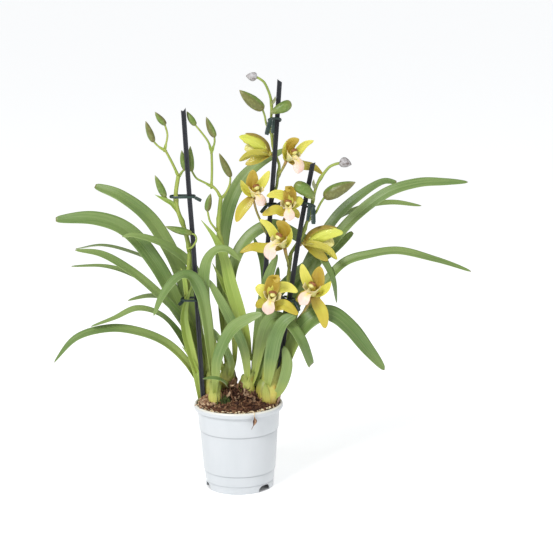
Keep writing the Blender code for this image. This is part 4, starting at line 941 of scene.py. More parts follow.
def leaf_width(widest, tip_share):
    """Narrow at the base, full from the middle of the length, drawn in towards the tip."""
    def width_at(share):
        if share < 0.52:
            opening = math.sin(share / 0.52 * math.pi / 2) ** 1.5
            return LEAF_BASE_WIDTH + (widest - LEAF_BASE_WIDTH) * opening
        if share < 0.6:
            return widest
        drop = ((share - 0.6) / 0.4) ** (2.1 if tip_share < 0.5 else 6)
        return widest * (tip_share + (1 - tip_share) * math.sqrt(max(0.0, 1 - drop)))
    return width_at


def leaf_fold(share):
    return 19 + 38 * math.exp(-(share / 0.16) ** 2) - 6 * share


def strap(points, looks, width_at, thickness, fold_at, ripple=0.0, spacing=3.2, cells=5, seed=0):
    """A thin blade, folded along its middle, whose upper side looks the given ways along its length.

    fold_at gives the angle that each half is turned up, in degrees, at a share of the length.
    """
    places, ways, shares = smooth_route(points, spacing)
    rows, values, gone = [], [], 0.0
    for i, (place, way, share) in enumerate(zip(places, ways, shares)):
        k = min(int(share * (len(looks) - 1)), len(looks) - 2)
        look = Vector(looks[k]).lerp(Vector(looks[k + 1]), share * (len(looks) - 1) - k)
        side = way.cross(look).normalized()
        up = side.cross(way).normalized()
        half = width_at(share) / 2
        fold = math.radians(fold_at(share))
        gone += (place - places[i - 1]).length if i else 0.0
        row = []
        for upper, k in there_and_back(cells):
            u = k / cells
            wave = ripple * abs(u) ** 3 * math.sin(gone / 13 + seed + (1.3 if u > 0 else 0.0))
            deep = thickness * (1 - 0.72 * u * u) / 2
            keel = 0.0 if upper else 0.35 * thickness * math.exp(-(u / 0.16) ** 2)
            lift = half * (abs(u) + 0.12 * u * u - 0.12 * abs(u)) * math.sin(fold) + wave
            row.append(place + side * half * u * math.cos(fold)
                       + up * (lift + (deep if upper else -deep - keel)))
            values.append((u, share, 1.0 if upper else 0.0, u * half, gone, seed))
        rows.append(row)
    return (*skin(rows), values)


def join_straps(name, parts):
    """Like join_parts, with two named values: place on the blade, and millimetres across and along."""
    mesh = join_parts(name, [(points, faces, [v[:3] for v in values]) for points, faces, values in parts],
                      "blade")
    name_values(mesh, "strip", [v[3:] for _, _, values in parts for v in values])
    return mesh


def make_leaf_finish(name, base, lean, vein, under, foot):
    """Leaf tissue: parallel veins, a pale midrib, painted light on the margin, a greyer underside and a
    yellowing foot.
    """
    leaf = Finish(name, 0.42)
    across = leaf.reckon("ABSOLUTE", leaf.part(0, "blade"))
    share, upper = leaf.part(1, "blade"), leaf.part(2, "blade")
    veins = leaf.speckle(1.0, 2, (1.5, 0.012, 7.0), "strip")
    cloud = leaf.speckle(24, 4)
    mood = leaf.speckle(1.0, 1, (0, 0.008, 3.7), "strip")       # each leaf has its own
    face = leaf.wash(base, lean, mood, (0.40, 0.0), (0.60, 1.0))
    face = leaf.wash(face, lean, cloud, (0.3, 0.0), (0.7, 0.3))
    face = leaf.wash(face, vein, veins, (0.42, 0.0), (0.62, 0.5))
    back = leaf.wash(under, tuple(0.75 * c for c in under), veins, (0.4, 0.0), (0.65, 0.35))
    face = leaf.over(upper, back, face)
    # a pale midrib, and a paler margin that is painted light shining through the thin edge
    face = leaf.wash(face, tuple(1.5 * c for c in vein), across, (0.02, 0.14), (0.06, 0.0), (0.93, 0.0),
                     (1.0, 0.55))
    face = leaf.wash(face, foot, share, (0.0, 1.0), (0.16, 0.6), (0.42, 0.0))
    leaf.colour(leaf.wash(face, (0.24, 0.14, 0.05), share, (0.993, 0.0), (1.0, 0.6)))
    leaf.roughness(leaf.shades(cloud, (0.3, 0.34), (0.7, 0.5)))
    leaf.relief(veins, 0.00012)
    leaf.let_light_in(0.06, (0.002, 0.004, 0.001))
    return leaf


leaf_green = make_leaf_finish("leaf_green_upper", (0.085, 0.165, 0.034), (0.195, 0.280, 0.072),
                              (0.26, 0.335, 0.120), (0.30, 0.34, 0.200), (0.36, 0.41, 0.080))
for number, (name, (widest, tip_share, looks, route)) in enumerate(LEAVES.items()):
    blade = strap(route, looks, leaf_width(widest, tip_share), LEAF_THICKNESS, leaf_fold, LEAF_RIPPLE,
                  seed=number * 1.7)
    finish_piece(join_straps(name + "_blade", [blade]), leaf_green, name)

# ---------------------------------------------------------------- flower spikes
# Four fleshy, yellow-green spikes with a thin sheath at each joint. Two still carry only buds; the
# other two are in flower, and the right one is the middle one's mirror image, turned and larger.

SPIKE_TIE = Vector((50, 12, 440))
TWIN_TIE = Vector((85, 9, 320))
TWIN_TURN = Matrix.Rotation(math.radians(14.5), 3, "Y")
TWIN_SCALE = 1.15


def keep(place):
    return Vector(place)


def twin(place):
    """Where a point of the middle spike lies on its mirrored twin, the right spike."""
    away = (Vector(place) - SPIKE_TIE) * TWIN_SCALE
    away.x = -away.x
    return TWIN_TIE + TWIN_TURN @ away


def twin_direction(direction):
    x, y, z = direction
    return TWIN_TURN @ Vector((-x, y, z))


LEFT_SPIKE = {
    "stems": [   # radius at the start, radius at the end, route
        (3.4, 2.3, ((-49, 2, 100), (-49, 2, 118), (-51, 2, 137), (-54, 2, 158), (-60, 3, 179),
                    (-65, 4, 204), (-69, 4, 237), (-66, 4, 260), (-63, 5, 294), (-61, 5, 322),
                    (-68, 4, 356), (-75, 3, 377), (-77, 2, 398), (-73, 2, 423))),
        (1.9, 1.6, ((-73, 2, 423), (-82, 1, 443), (-90, 0, 459))),
        (1.3, 1.3, ((-89, 0.5, 457.5), (-97, -2, 462), (-101, -3, 466), (-104, -4, 470))),
        (1.3, 1.3, ((-90.2, 0.1, 456.5), (-87, 2, 469), (-86, 3, 478), (-89, 2, 491))),
        (1.5, 1.4, ((-73.8, 2.3, 420.5), (-68, 4, 428), (-64, 5, 431))),
        (1.6, 1.4, ((-76, 3, 378), (-85, 0, 387), (-91, -2, 397))),
        (1.5, 1.2, ((-61, 4, 320), (-63, -2, 326), (-57, -11, 330), (-51, -12, 339), (-52, -12, 346),
                    (-58, -12, 349))),
    ],
    "buds": [    # width, base, tip
        (8.5, (-104, -4, 470), (-113, -6, 496)),
        (8.0, (-89, 2, 491), (-101, 0, 507)),
        (8.0, (-64, 5, 431), (-68, 5, 456)),
        (9.0, (-91, -2, 397), (-103, -5, 425)),
        (9.0, (-58, -12, 349), (-91, -14, 359)),
    ],
    "bracts": [  # width, face, route
        (7.5, (0.3, -0.9, 0.3), ((-75, 3, 374), (-82, -1, 386), (-92, -5, 393), (-104, -8, 400))),
    ],
}

SECOND_SPIKE = {
    "stems": [
        (3.2, 2.3, ((8, 9, 100), (10, 9, 118), (14.5, 8.5, 141), (13, 8, 171), (10, 8, 206),
                    (4, 8, 240), (-5, 8, 275), (-14, 8, 315), (-22, 7, 347), (-21, 6, 369),
                    (-18, 5, 394))),
        (1.9, 1.8, ((-17.6, 5.3, 392.5), (-24, 5, 403), (-30, 5, 409))),
        (1.5, 1.3, ((-28.8, 5.2, 408), (-41, 5, 414), (-50, 7, 419), (-56, 8, 429))),
        (1.7, 1.6, ((-30.2, 4.7, 406.5), (-29, 4, 430), (-29, 3, 456))),
        (1.5, 1.2, ((-28.6, 3.3, 454), (-33, 1, 467), (-41, 0, 479), (-50, 1, 490))),
        (1.4, 1.3, ((-29.4, 2.8, 453), (-25, 4, 465), (-25, 5, 474))),
        (1.6, 1.3, ((-18.5, 5, 391), (-11, 4, 400), (-6, 3, 411), (-5, 2, 422))),
        (1.6, 1.3, ((-22, 7, 347), (-27, 2, 353), (-33, -1, 363), (-36, -3, 378))),
    ],
    "buds": [
        (8.5, (-56, 8, 429), (-57, 9, 461)),
        (8.0, (-50, 1, 490), (-60, 3, 507)),
        (9.0, (-25, 5, 474), (-35, 5, 499)),
        (9.0, (-5, 2, 422), (-19, 0, 452)),
        (8.5, (-36, -3, 378), (-31, -5, 400)),
    ],
    "bracts": [
        (17.0, (0.1, -1.0, 0.1), ((13, 8, 171), (9, 3, 206), (2, 1, 240), (-7, 1, 275), (-16, 1, 315),
                                  (-28, -1, 342), (-44, -6, 365))),
        (8.0, (0.5, -0.9, 0.1), ((4, 8, 240), (-10, 4, 262), (-21, 2, 285), (-31, 0, 306))),
    ],
}

FLOWERING_SPIKE = {   # drawn for the middle spike; the right spike is its twin
    "stems": [
        (2.7, 1.6, ((44, 20, 339), (47, 19, 370), (50, 19, 389), (55, 18, 404), (57, 17, 419),
                    (59, 17, 432), (56, 18, 442), (51, 19, 457), (50, 18, 471), (49, 17, 486),
                    (49.5, 14, 499), (50, 11, 513), (48, 9, 526), (42, 7, 541), (36, 6, 547),
                    (28, 6, 551))),
        (1.5, 1.3, ((50, 18, 474), (43.5, 12, 486), (41, 6, 499), (38, 3, 509))),
        (1.4, 1.3, ((49.5, 13, 503), (51, 6, 503), (58, 3, 504), (66, 0, 508), (72, -4, 514))),
        (1.5, 2.1, ((56, 18, 440), (53, 19, 443.5), (50, 19, 446))),
        (1.4, 2.2, ((57, 17, 417), (61, 11, 425), (65, 6, 433), (68, 1, 440))),
        (1.5, 1.6, ((44.4, 19.6, 338.5), (38, 18, 346), (33, 9, 361), (28, 1, 376), (24.5, -6.5, 393))),
        (1.5, 2.2, ((43.6, 20.3, 341.5), (52, 18, 342), (59, 8, 352), (66, 0, 366), (69, -6, 375))),
    ],
    "buds": [
        (7.5, (29, 6, 551), (18, 5, 551.5)),
        (15.0, (38, 3, 509), (9, -3, 534)),
        (13.5, (74, -4, 516), (49, -8, 506)),
    ],
    "bracts": [
        (5.0, (0.2, -0.9, 0.3), ((50, 10, 514), (54, 7, 520), (55, 5, 525))),
    ],
}

LOWER_STEMS = {   # the stretch below the flowering part, from inside the mix upwards
    "middle_spike": ((20, 24, 100), (20, 24, 118), (25, 21, 150), (31, 20, 203), (36, 20, 251),
                     (41, 20, 303)),
    "right_spike": ((38, 12, 100), (38, 12, 120), (45, 15, 150), (54, 17, 180)),
}

MAIN_JOINTS = (0.16, 0.29, 0.43, 0.58, 0.70, 0.81, 0.90)   # shares of a main stem's length
BROWNING = (1.0, 1.35, 0.3)                                # of the flowering spike's buds
# Each spike: its drawing, what changes its places, its directions and its sizes, the plumpness of its
# main stem, the breadth of its bracts, and the way that the browned side of its buds faces.
SPIKES = {
    "left_spike": (LEFT_SPIKE, keep, keep, 1.0, 1.18, 1.0, None),
    "second_spike": (SECOND_SPIKE, keep, keep, 1.0, 1.18, 1.2, None),
    "middle_spike": (FLOWERING_SPIKE, keep, keep, 1.0, 1.0, 1.0, 0.8),
    "right_spike": (FLOWERING_SPIKE, twin, twin_direction, TWIN_SCALE, 1.0, 1.0, 2.35),
}


def swollen(start, end, joints):
    """Radius along a stem that swells slightly at each of its joints."""
    def radius_at(share):
        radius = start + (end - start) * share
        for joint in joints:
            radius += 0.22 * start * math.exp(-((share - joint) / 0.012) ** 2)
        return radius
    return radius_at


def bud_part(base, tip, width, seed, brown=1.0, sunny_side=None):
    """A closed bud: three sepals folded over one another, drawn together to a blunt point."""
    if sunny_side is None:
        sunny_side = 2.0 + seed
    axis = (tip - base).normalized()
    across = axis.cross(Vector((0, 1, 0))).normalized()
    other = axis.cross(across)
    rows, values, sides, levels = [], [], 27, 24
    for k in range(levels + 1):
        share = k / levels
        girth = 0.36 * (1 - share) ** 3 + math.sin(math.pi * share ** 0.8) ** 0.72
        girth = max(girth, 0.07) if share > 0.5 else girth
        middle = (base - axis * 1.5).lerp(tip, share) + across * 0.06 * width * math.sin(math.pi * share)
        row = []
        for i in range(sides):
            turn = math.tau * i / sides
            seam = math.exp(-(math.sin(1.5 * turn + 2.2 * share + seed) / 0.16) ** 2)
            lobe = 1 - 0.09 * seam + 0.04 * math.cos(3 * turn + 4.4 * share + 2 * seed)
            row.append(middle + (across * math.cos(turn) + other * math.sin(turn))
                       * width / 2 * girth * lobe)
            values.append((seam, share, brown * (0.5 + 0.5 * math.cos(turn - sunny_side))))
        rows.append(row)
    return (*skin(rows), values)


def bract_width(widest):
    return lambda share: widest * max(0.05, math.sin(math.pi * (0.24 + 0.75 * share)))


def bract_part(width, face, route, thickness, folds, seed):
    """A green scale that clasps the stem at its foot, where its fold is deepest, and stands off above."""
    deepest, easing = folds
    return strap(route, (face, face), bract_width(width), thickness, lambda share: deepest - easing * share,
                 0.3, 2.4, 6, seed)


stem_tissue = Finish("stem_tissue", 0.45)
shade = stem_tissue.speckle(45, stretch=(1, 1, 0.4))
freckles = stem_tissue.speckle(420, 2)
stem_green = stem_tissue.shades(shade, (0.35, (0.21, 0.29, 0.045)), (0.65, (0.33, 0.39, 0.075)))
blush = stem_tissue.shades(stem_tissue.part(1, "stem"), (0.45, (0.31, 0.32, 0.075)),
                           (1.0, (0.38, 0.22, 0.07)))
stem_colour = stem_tissue.over(stem_tissue.part(2, "stem"), stem_green, blush)
stem_tissue.colour(stem_tissue.wash(stem_colour, (0.28, 0.18, 0.05), freckles, (0.56, 0.0), (0.70, 0.5)))
stem_tissue.relief(freckles, 0.0001)

bud_skin = Finish("bud_skin", 0.42)
freckles = bud_skin.speckle(300)
seam, rise, sunny = [bud_skin.part(axis, "bud") for axis in (0, 1, 2)]
bud_colour = bud_skin.shades(rise, (0.0, (0.18, 0.21, 0.045)), (0.3, (0.11, 0.19, 0.026)),
                             (0.85, (0.14, 0.20, 0.036)), (1.0, (0.30, 0.31, 0.12)))
bud_colour = bud_skin.wash(bud_colour, (0.13, 0.075, 0.030), sunny, (0.60, 0.0), (0.9, 0.55))
# painted shade: darker along the seams where the sepals meet
bud_colour = bud_skin.wash(bud_colour, (0.09, 0.11, 0.025), seam, (0.2, 0.0), (0.9, 0.6))
bud_skin.colour(bud_skin.wash(bud_colour, (0.30, 0.34, 0.11), freckles, (0.5, 0.0), (0.7, 0.4)))
bud_skin.relief(freckles, 0.00015)

# The end bud of a flowering spike is wrapped in a dry, pale grey, papery scale.
grey_scale = clouded_finish("dry_grey_scale", 0.8, 0.2, 260, 4, 0.0006, (0.35, (0.16, 0.13, 0.12)),
                            (0.5, (0.36, 0.34, 0.34)), (0.7, (0.52, 0.51, 0.52)))

green_bract = make_leaf_finish("bract_tissue", (0.19, 0.30, 0.045), (0.27, 0.37, 0.060),
                               (0.38, 0.45, 0.10), (0.25, 0.31, 0.10), (0.31, 0.37, 0.07))
grey_bract = make_leaf_finish("grey_bract_tissue", (0.25, 0.28, 0.14), (0.31, 0.32, 0.18),
                              (0.38, 0.37, 0.23), (0.25, 0.27, 0.15), (0.28, 0.31, 0.14))

for number, (name, (spike, place, turn, scale, plump, broad, sunny_side)) in enumerate(SPIKES.items()):
    in_flower = spike is FLOWERING_SPIKE
    stems, scales = [], []
    for i, (start, end, route) in enumerate(spike["stems"]):
        points = [place(p) for p in route]
        if i == 0:     # the main stem, which begins inside the mix
            points = [Vector(p) for p in LOWER_STEMS.get(name, ())] + points
            radius_at = swollen(start * scale * plump, end * scale * plump, MAIN_JOINTS)
            points, faces, values = stem(points, radius_at, 14, 2.5)
        else:
            first, way = points[0], (points[1] - points[0]).normalized()
            scales.append(strap([first - way * 2, first + way * 4, first + way * 9, first + way * 13],
                                (turn((0, -1, -0.4)), turn((0, -1, -0.2))), bract_width(5.5 * scale),
                                0.5, lambda share: 48 - 20 * share, spacing=1.6, cells=4))
            points, faces, values = stem(points, swollen(start * scale, end * scale, [0.02]), 10, 1.6)
        ripe = 1.0 if end > start else 0.0
        stems.append((points, faces, [(a, b, ripe) for a, b, _ in values]))
    finish_piece(join_parts(name + "_stem", stems, "stem"), stem_tissue, name)
    buds = []
    for k, (width, base, tip) in enumerate(spike["buds"]):
        base, tip = place(base), place(tip)
        if in_flower and k == 0:
            ball = bud_part(base.lerp(tip, -0.1), base.lerp(tip, 1.05), width * 1.45 * scale, number)
            finish_piece(join_parts(name + "_end_bud", [ball]), grey_scale, name)
        else:
            brown = BROWNING[k] if in_flower else 1.0
            buds.append(bud_part(base, tip, width * scale, number * 3 + k, brown, sunny_side))
    finish_piece(join_parts(name + "_buds", buds, "bud"), bud_skin, name)
    for width, face, route in spike["bracts"]:
        scales.append(bract_part(width * scale * broad, turn(face), [place(p) for p in route], 0.9,
                                 (34, 18), number))
    finish_piece(join_straps(name + "_bracts", scales), grey_bract if in_flower else green_bract,
                 name)

# Broad green sheaths clasp the left spike's lower joints.
LEFT_SHEATHS = [   # width, face, route
    (15, (0.2, -1.0, 0.1), ((-54, -1, 158), (-61, -1, 182), (-67, -0.5, 207), (-70, -0.5, 232),
                            (-66, -1.5, 257), (-58.5, -2.5, 277))),
    (11, (-0.2, -1.0, 0.1), ((-50, -1, 118), (-52, -1, 137), (-56, -1.5, 160), (-64, -1, 181),
                             (-74, -1.5, 194))),
    (8, (-0.3, -1.0, 0.1), ((-66, 1, 262), (-66.5, 0, 276), (-69, -0.5, 290), (-73, -1, 301))),
]
parts = [bract_part(*sheath, 0.8, (42, 26), 3.0) for sheath in LEFT_SHEATHS]
finish_piece(join_straps("left_spike_sheaths", parts), green_bract, "left_spike")

# ---------------------------------------------------------------- flowers
# Each flower has three sepals and two petals in mustard yellow, waxy and cupped, a three-lobed pale
# pink lip with two yellow keels, and an arched column that ends in a reddish-brown cap.

FLOWER_FORMS = {   # each: heart of the flower, column tip, then blades as (width, face, route)
    "side": ((48.5, 20, 446), (-11, 0, 8), [
        (12, (-0.4, 0.2, -0.9), ((-4, -2, 16), (-16, -6, 27), (-33, -10, 30))),
        (14, (0.2, 0.9, -0.3), ((-11, -7, 11), (-25, -12, 22), (-41, -15, 27))),
        (13, (0.2, -0.9, -0.3), ((-10, 4, 10), (-25, 6, 17), (-37, 6, 19))),
        (13, (0.1, 0.8, 0.6), ((-13, -7, 2), (-28, -12, 2), (-42, -15, -5))),
        (12, (0.1, -0.8, 0.6), ((-10, 4, -3), (-22, 6, -8), (-34, 7, -13))),
        (13, (0.1, 0.1, 1.0), ((-13, 0, 3), (-23, -1, 5), (-32, -2, 3))),
    ]),
    "turned": ((69, -1, 442), (10, -10, 13), [
        (15, (0.4, -0.9, 0.0), ((0, 0, 13), (6, -2, 23), (16, -6, 28))),
        (10, (0.9, -0.2, -0.3), ((-4, -8, 10), (-4, -14, 19), (-1, -18, 26))),
        (11, (0.2, -0.9, -0.3), ((11, -2, 9), (23, -5, 21), (35, -8, 26))),
        (11, (0.4, -0.8, 0.3), ((10, 2, -4), (22, 10, -9), (35, 22, -13), (47, 24, -23))),
        (11, (0.3, -0.7, 0.5), ((1, 5, 2), (0, 12, 1), (-3, 18, -3))),
        (14, (0.4, -0.7, 0.6), ((8, -10, 4), (16, -15, -2), (14, -16, -14))),
    ]),
    "open": ((24, -8, 396), (5, -8, 14), [
        (15, (0.1, -0.9, -0.4), ((-1, 1, 14), (0, -1, 26), (1, -6, 36))),
        (10, (0.7, -0.7, 0.0), ((-8, -3, 7), (-13, -8, 15), (-15, -12, 23))),
        (11.5, (0.0, -0.9, -0.3), ((7, 0, 11), (15, -2, 22), (22, -6, 34))),
        (13, (0.1, -0.9, 0.3), ((-6, -2, -7), (-15, -5, -17), (-22, -9, -32))),
        (12, (0.6, -0.7, 0.3), ((6, 5, -3), (12, 10, -7), (17, 14, -13))),
        (14, (0.3, -0.7, 0.6), ((5, -10, 4), (10, -15, 0), (13, -16, -9))),
    ]),
    "hooded": ((70, -8, 378), (0, -7, 11), [
        (16, (0.0, -0.9, -0.4), ((2, 3, 14), (2, -1, 26), (0, -8, 30), (-1, -12, 25))),
        (12, (0.1, -1.0, 0.1), ((-4, 3, 15), (-15, 4, 20), (-28, 0, 18))),
        (14, (-0.3, -0.9, 0.2), ((8, 1, 8), (15, 2, 11), (20, 5, 11))),
        (12, (0.0, -0.8, 0.5), ((-7, -2, -4), (-17, -4, 0), (-34, -7, -6))),
        (11, (0.3, -0.8, 0.5), ((5, 4, -4), (11, 8, -8), (14, 12, -13))),
        (13, (0.0, -0.7, 0.7), ((0, -10, 4), (1, -16, -2), (1, -17, -11))),
    ]),
}
BLADE_TONES = ("gold", "yellow", "yellow", "olive", "olive")   # upper sepal, petals, lower sepals
CAP_SIZES, THROAT_SIZES = (3.4, 4.8, 2.6), (3.4, 3.3, 2.3)     # half sizes along, across and up


def tepal_width(widest):
    return lambda share: widest * (0.30 * (1 - share) + 0.96 * math.sin(math.pi * share ** 0.84) ** 0.58
                                   + 0.10 * share)


def tepal_fold(share):
    return 17 + 8 * math.cos(math.pi * share)


def lip_width(widest):
    """Broad at the column, then a waist, and a rounded tongue."""
    def width_at(share):
        lobes = math.exp(-((share - 0.24) / 0.15) ** 2)
        tongue = math.exp(-(abs(share - 0.74) / 0.27) ** 3)
        end = math.sqrt(max(0.0, 1 - (max(0.0, share - 0.8) / 0.2) ** 2.4))
        return widest * (0.26 + 0.75 * lobes + 0.74 * tongue) * end + 0.2
    return width_at


def lip_fold(share):
    return 60 * math.exp(-((share - 0.2) / 0.24) ** 2) - 14 * share


def tepal_finish(name, heart_tone, face, rim, back, vein):
    petal = Finish(name, 0.38)
    across = petal.reckon("ABSOLUTE", petal.part(0, "blade"))
    veins = petal.speckle(1.1, 2, (1.3, 0.05, 3.0), "strip")
    cloud = petal.speckle(110)
    colour = petal.shades(petal.part(1, "blade"), (0.0, heart_tone), (0.45, face), (1.0, rim))
    colour = petal.wash(colour, rim, cloud, (0.35, 0.0), (0.7, 0.4))
    colour = petal.wash(colour, vein, veins, (0.45, 0.0), (0.66, 0.35))
    colour = petal.wash(colour, rim, across, (0.72, 0.0), (1.0, 0.75))
    shaded = petal.wash(back, vein, veins, (0.4, 0.0), (0.7, 0.4))
    petal.colour(petal.over(petal.part(2, "blade"), shaded, colour))
    petal.relief(veins, 0.00025)
    petal.roughness(petal.shades(cloud, (0.3, 0.42), (0.7, 0.56)))
    petal.let_light_in(0.12, (0.004, 0.003, 0.001))
    petal.shader.inputs["Coat Weight"].default_value = 0.05
    return petal


TEPALS = {
    "gold": tepal_finish("tepal_gold", (0.31, 0.15, 0.014), (0.41, 0.27, 0.022), (0.47, 0.35, 0.038),
                         (0.32, 0.24, 0.035), (0.30, 0.155, 0.015)),
    "yellow": tepal_finish("tepal_yellow", (0.42, 0.39, 0.028), (0.56, 0.53, 0.052), (0.70, 0.65, 0.12),
                           (0.58, 0.62, 0.090), (0.48, 0.43, 0.035)),
    "olive": tepal_finish("tepal_olive", (0.28, 0.15, 0.018), (0.50, 0.46, 0.046), (0.50, 0.38, 0.038),
                          (0.50, 0.45, 0.062), (0.43, 0.36, 0.034)),
}

lip_flesh = Finish("lip_flesh", 0.4)
across, share = lip_flesh.reckon("ABSOLUTE", lip_flesh.part(0, "blade")), lip_flesh.part(1, "blade")
cloud = lip_flesh.speckle(260)
flesh = lip_flesh.shades(share, (0.0, (0.50, 0.50, 0.12)), (0.34, (0.66, 0.60, 0.22)),
                         (0.52, (0.82, 0.62, 0.42)), (0.8, (0.80, 0.57, 0.49)))
keel = lip_flesh.reckon("MULTIPLY", lip_flesh.shades(across, (0.12, 0.9), (0.34, 0.0)),
                        lip_flesh.shades(share, (0.50, 1.0), (0.68, 0.0)))
flesh = lip_flesh.over(keel, flesh, (0.82, 0.70, 0.14))
flesh = lip_flesh.wash(flesh, (0.70, 0.28, 0.22), lip_flesh.speckle(900, 1), (0.66, 0.0), (0.72, 0.4))
lip_flesh.colour(lip_flesh.wash(flesh, (0.86, 0.73, 0.64), cloud, (0.4, 0.0), (0.7, 0.35)))
lip_flesh.relief(cloud, 0.0003)
lip_flesh.let_light_in(0.2, (0.004, 0.002, 0.0015))

cap_wax = clouded_finish("column_cap", 0.5, 0.5, 420, 3, 0.0002, (0.3, (0.16, 0.045, 0.010)),
                         (0.7, (0.36, 0.15, 0.035)))
column_flesh = clouded_finish("column_flesh", 0.38, 0.5, 350, 3, 0.0002, (0.35, (0.44, 0.26, 0.045)),
                              (0.6, (0.58, 0.52, 0.10)), (0.75, (0.68, 0.64, 0.20)))
throat_cream = clouded_finish("throat_cream", 0.4, 0.5, 400, 2, 0.0002, (0.35, (0.62, 0.57, 0.14)),
                              (0.7, (0.82, 0.78, 0.36)))


def pebble(middle, sizes, axis, up):
    """A smooth, slightly pointed lump with its length along an axis."""
    sides, levels = 16, 12
    side = axis.cross(up).normalized()
    up = side.cross(axis)
    rows = []
    for k in range(levels + 1):
        rise = -1 + 2 * k / levels
        girth = math.sqrt(max(0.0, 1 - rise * rise)) + 0.03
        rows.append([middle + axis * rise * sizes[0] + (side * math.cos(math.tau * i / sides) * sizes[1]
                     + up * math.sin(math.tau * i / sides) * sizes[2]) * girth for i in range(sides)])
    return (*skin(rows), ())


def side_lobes(middle, tip, way, up, scale):
    """The lip's two side lobes: a flared trough, open at its top, that the column lies in."""
    side = way.cross(up).normalized()
    rows, values, spread, levels = [], [], 18, 9
    for k in range(levels):
        share = k / (levels - 1)
        centre = middle.lerp(tip, 0.1 + 0.72 * share) - up * 0.6 * scale
        row = []
        for thickness, steps in ((0.0, range(spread + 1)), (0.6, range(spread, -1, -1))):
            for i in steps:
                turn = math.radians(148 + 244 * i / spread)
                frill = 1 + 0.06 * math.sin(7 * turn) * share
                radius = (2.8 + 6.4 * share ** 1.2) * frill + thickness
                row.append(centre + (side * math.cos(turn) * radius * 1.08 + up * math.sin(turn) * radius
                                     + way * 1.6 * share * abs(math.cos(turn))) * scale)
                values.append((1.0, 0.16 + 0.26 * share ** 2, 0.0))
        rows.append(row)
    return (*skin(rows), values)


def make_flower(name, node, form, place, turn, scale, seed):
    """One flower's pieces; place and turn put its points and directions on its spike."""
    heart, column, blades = FLOWER_FORMS[form]
    heart = Vector(heart)
    middle = place(heart)
    from_side = form == "side"

    def add(mesh, finish):
        finish_piece(mesh, finish, node)

    def route_from_heart(route, reach):
        """A blade's route, which starts that share of the way to its first point."""
        points = [place(heart + Vector(p)) for p in route]
        return [middle.lerp(points[0], reach)] + points

    for tone, finish in TEPALS.items():
        tepals = [strap(route_from_heart(route, 0.1), (turn(face), turn(face)), tepal_width(width * scale),
                        1.0 * scale, tepal_fold, 0.55 * scale, 1.7, 8, seed + 2.1 * k)
                  for k, (width, face, route) in enumerate(blades[:5]) if BLADE_TONES[k] == tone]
        add(join_straps(f"{name}_{tone}_tepals", tepals), finish)

    width, face, route = blades[5]
    if from_side:   # the lip stands on edge between the petals
        face, route = (0.1, -0.8, 0.5), [(x - 3, y - 4, z + 6) for x, y, z in route]
    else:
        route = [*route[:-1], 1.16 * Vector(route[-1]) - 0.16 * Vector(route[-2])]
    lip = strap(route_from_heart(route, 0.15), (turn(face), turn(face)), lip_width(width * scale * 1.12),
                0.9 * scale, lip_fold, 0.8 * scale, 0.9, 12, seed)
    add(join_straps(name + "_lip", [lip]), throat_cream if from_side else lip_flesh)

    tip = place(heart + Vector(column))
    way = (tip - middle).normalized()
    rise = place(heart + Vector(blades[0][2][0])) - middle
    up = (rise - way * rise.dot(way)).normalized()
    lobes = side_lobes(middle, tip, way, up, scale * (0.6 if from_side else 1.0))
    add(join_parts(name + "_side_lobes", [lobes], "blade"), lip_flesh)
    arch = [middle, middle.lerp(tip, 0.35) + up * 1.3 * scale,
            middle.lerp(tip, 0.75) + up * 1.5 * scale, tip]
    flesh = stem(arch, lambda share: (2.4 + 1.3 * share) * scale, 14, 0.9)
    add(join_parts(name + "_column", [flesh]), column_flesh)
    front = (tip - arch[2]).normalized()
    cap = pebble(tip + up * 1.0 * scale, [size * scale for size in CAP_SIZES], front, up)
    add(join_parts(name + "_cap", [cap]), cap_wax)
    throat = pebble(tip - up * 2.0 * scale - front * 1.2 * scale, [size * scale for size in THROAT_SIZES],
                    front, up)
    add(join_parts(name + "_throat", [throat]), throat_cream)


for number, form in enumerate(FLOWER_FORMS, start=1):
    make_flower(f"middle_bloom_{number}", f"middle_flower_{number}", form, keep, keep, 1.0, number)
    make_flower(f"right_bloom_{number}", f"right_flower_{number}", form, twin, twin_direction,
                TWIN_SCALE, number + 4)

# ---------------------------------------------------------------- clips
# Six spring clips of dark green plastic hold the spikes to the stakes: a thin ring goes round both,
# and flat, ribbed finger levers open it.

RING_STEPS, RING_SIDES, RING_WIRE = 56, 10, 0.85
HINGE_RADIUS = 1.25
LEVER_OUTLINE = ((-1, -0.6), (-0.8, -1), (0.8, -1), (1, -0.6), (1, 0.6), (0.8, 1), (-0.8, 1), (-1, 0.6))
CLIPS = {   # middle of the ring, half sizes and rise, levers as start, end and width
    "left_top_clip": ((-68, -0.5, 396), (16.5, 8.4, 0), (((-51.5, -5, 395), (-43.5, -7, 391), 4.5),)),
    "left_low_clip": ((-60, -0.5, 258), (13.5, 9.2, 0), (((-70, -5, 258), (-76, -9, 252), 4.5),)),
    "middle_top_clip": ((54, 13.2, 493), (8.2, 7.6, -3), (((48, 7.0, 494), (43, 2.5, 475), 6.0),
                                                          ((52.5, 5.9, 495.5), (50.5, 2.5, 477), 4.5))),
    "middle_low_clip": ((48.5, 14.2, 381), (6.8, 8.5, 0), (((56, 9, 381), (63, 5, 386), 4.5),
                                                           ((42, 9, 381), (34, 5, 372), 4.5))),
}


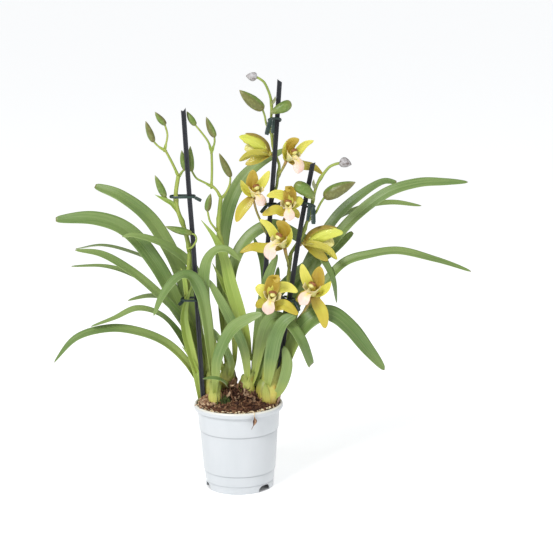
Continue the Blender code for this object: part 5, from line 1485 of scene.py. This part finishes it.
def ring_part(middle, reaches, place):
    """The sprung ring; its section is taller than it is thick."""
    (x, y, z), (reach_x, reach_y, rise) = middle, reaches
    loop = []
    for i in range(RING_STEPS):
        c, s = math.cos(math.tau * i / RING_STEPS), math.sin(math.tau * i / RING_STEPS)
        loop.append(place((x + reach_x * math.copysign(abs(c) ** 0.7, c),
                           y + reach_y * math.copysign(abs(s) ** 0.7, s), z + rise * s)))
    middle = sum(loop, Vector()) / RING_STEPS
    points, faces = [], []
    for i, spot in enumerate(loop):
        way = (loop[(i + 1) % RING_STEPS] - loop[i - 1]).normalized()
        out = (spot - middle).normalized()
        up = way.cross(out).normalized()
        out = up.cross(way)
        for k in range(RING_SIDES):
            turn = math.tau * k / RING_SIDES
            points.append(spot + out * math.cos(turn) * RING_WIRE + up * math.sin(turn) * RING_WIRE * 1.9)
    for i in range(RING_STEPS):
        a, b = i * RING_SIDES, (i + 1) % RING_STEPS * RING_SIDES
        for k in range(RING_SIDES):
            j = (k + 1) % RING_SIDES
            faces.append((a + k, a + j, b + j, b + k))
    return points, faces, ()


def lever_part(start, end, width):
    """A flat finger lever with cross ribs near its free end."""
    levels = 40
    way = (end - start).normalized()
    side = way.cross(Vector((0, 1, 0))).normalized()
    depth = way.cross(side)
    rows = []
    for k in range(levels + 1):
        share = k / levels
        half = width / 2 * (0.55 + 0.45 * min(1.0, share / 0.25)) * (1.0 if share < 0.92 else 0.86)
        rib = 0.25 if share > 0.5 and math.sin(share * 70) > 0 else 0.0
        spot = (start - way * 1.5).lerp(end, share)
        rows.append([spot + side * half * a + depth * (0.75 * b + rib * math.copysign(1, b))
                     for a, b in LEVER_OUTLINE])
    return (*skin(rows), ())


def hinge_part(start, width):
    """The round barrel between the ring and its lever."""
    along = Vector((1, 0, 0)) * width * 0.55
    return stem((start - along, start, start + along), lambda share: HINGE_RADIUS, 12, 0.8)


clip_plastic = Finish("clip_plastic", 0.35)
flow = clip_plastic.speckle(180, 4)
clip_plastic.colour(clip_plastic.shades(flow, (0.35, (0.007, 0.020, 0.016)), (0.65, (0.020, 0.045, 0.036))))
clip_plastic.roughness(clip_plastic.shades(flow, (0.35, 0.28), (0.65, 0.45)))
clip_plastic.relief(flow, 0.0001)


def add_clip(name, place, middle, reaches, levers):
    parts = [ring_part(middle, reaches, place)]
    for start, end, width in levers:
        start, end = place(start), place(end)
        parts += [lever_part(start, end, width), hinge_part(start, width)]
    spring = join_parts(name + "_spring", parts)
    spring.set_sharp_from_angle(angle=math.radians(40))
    finish_piece(spring, clip_plastic, name)


for name, design in CLIPS.items():
    add_clip(name, keep, *design)
    if name.startswith("middle"):      # the right spike's clips are the twins of the middle one's
        add_clip(name.replace("middle", "right"), twin, *design)
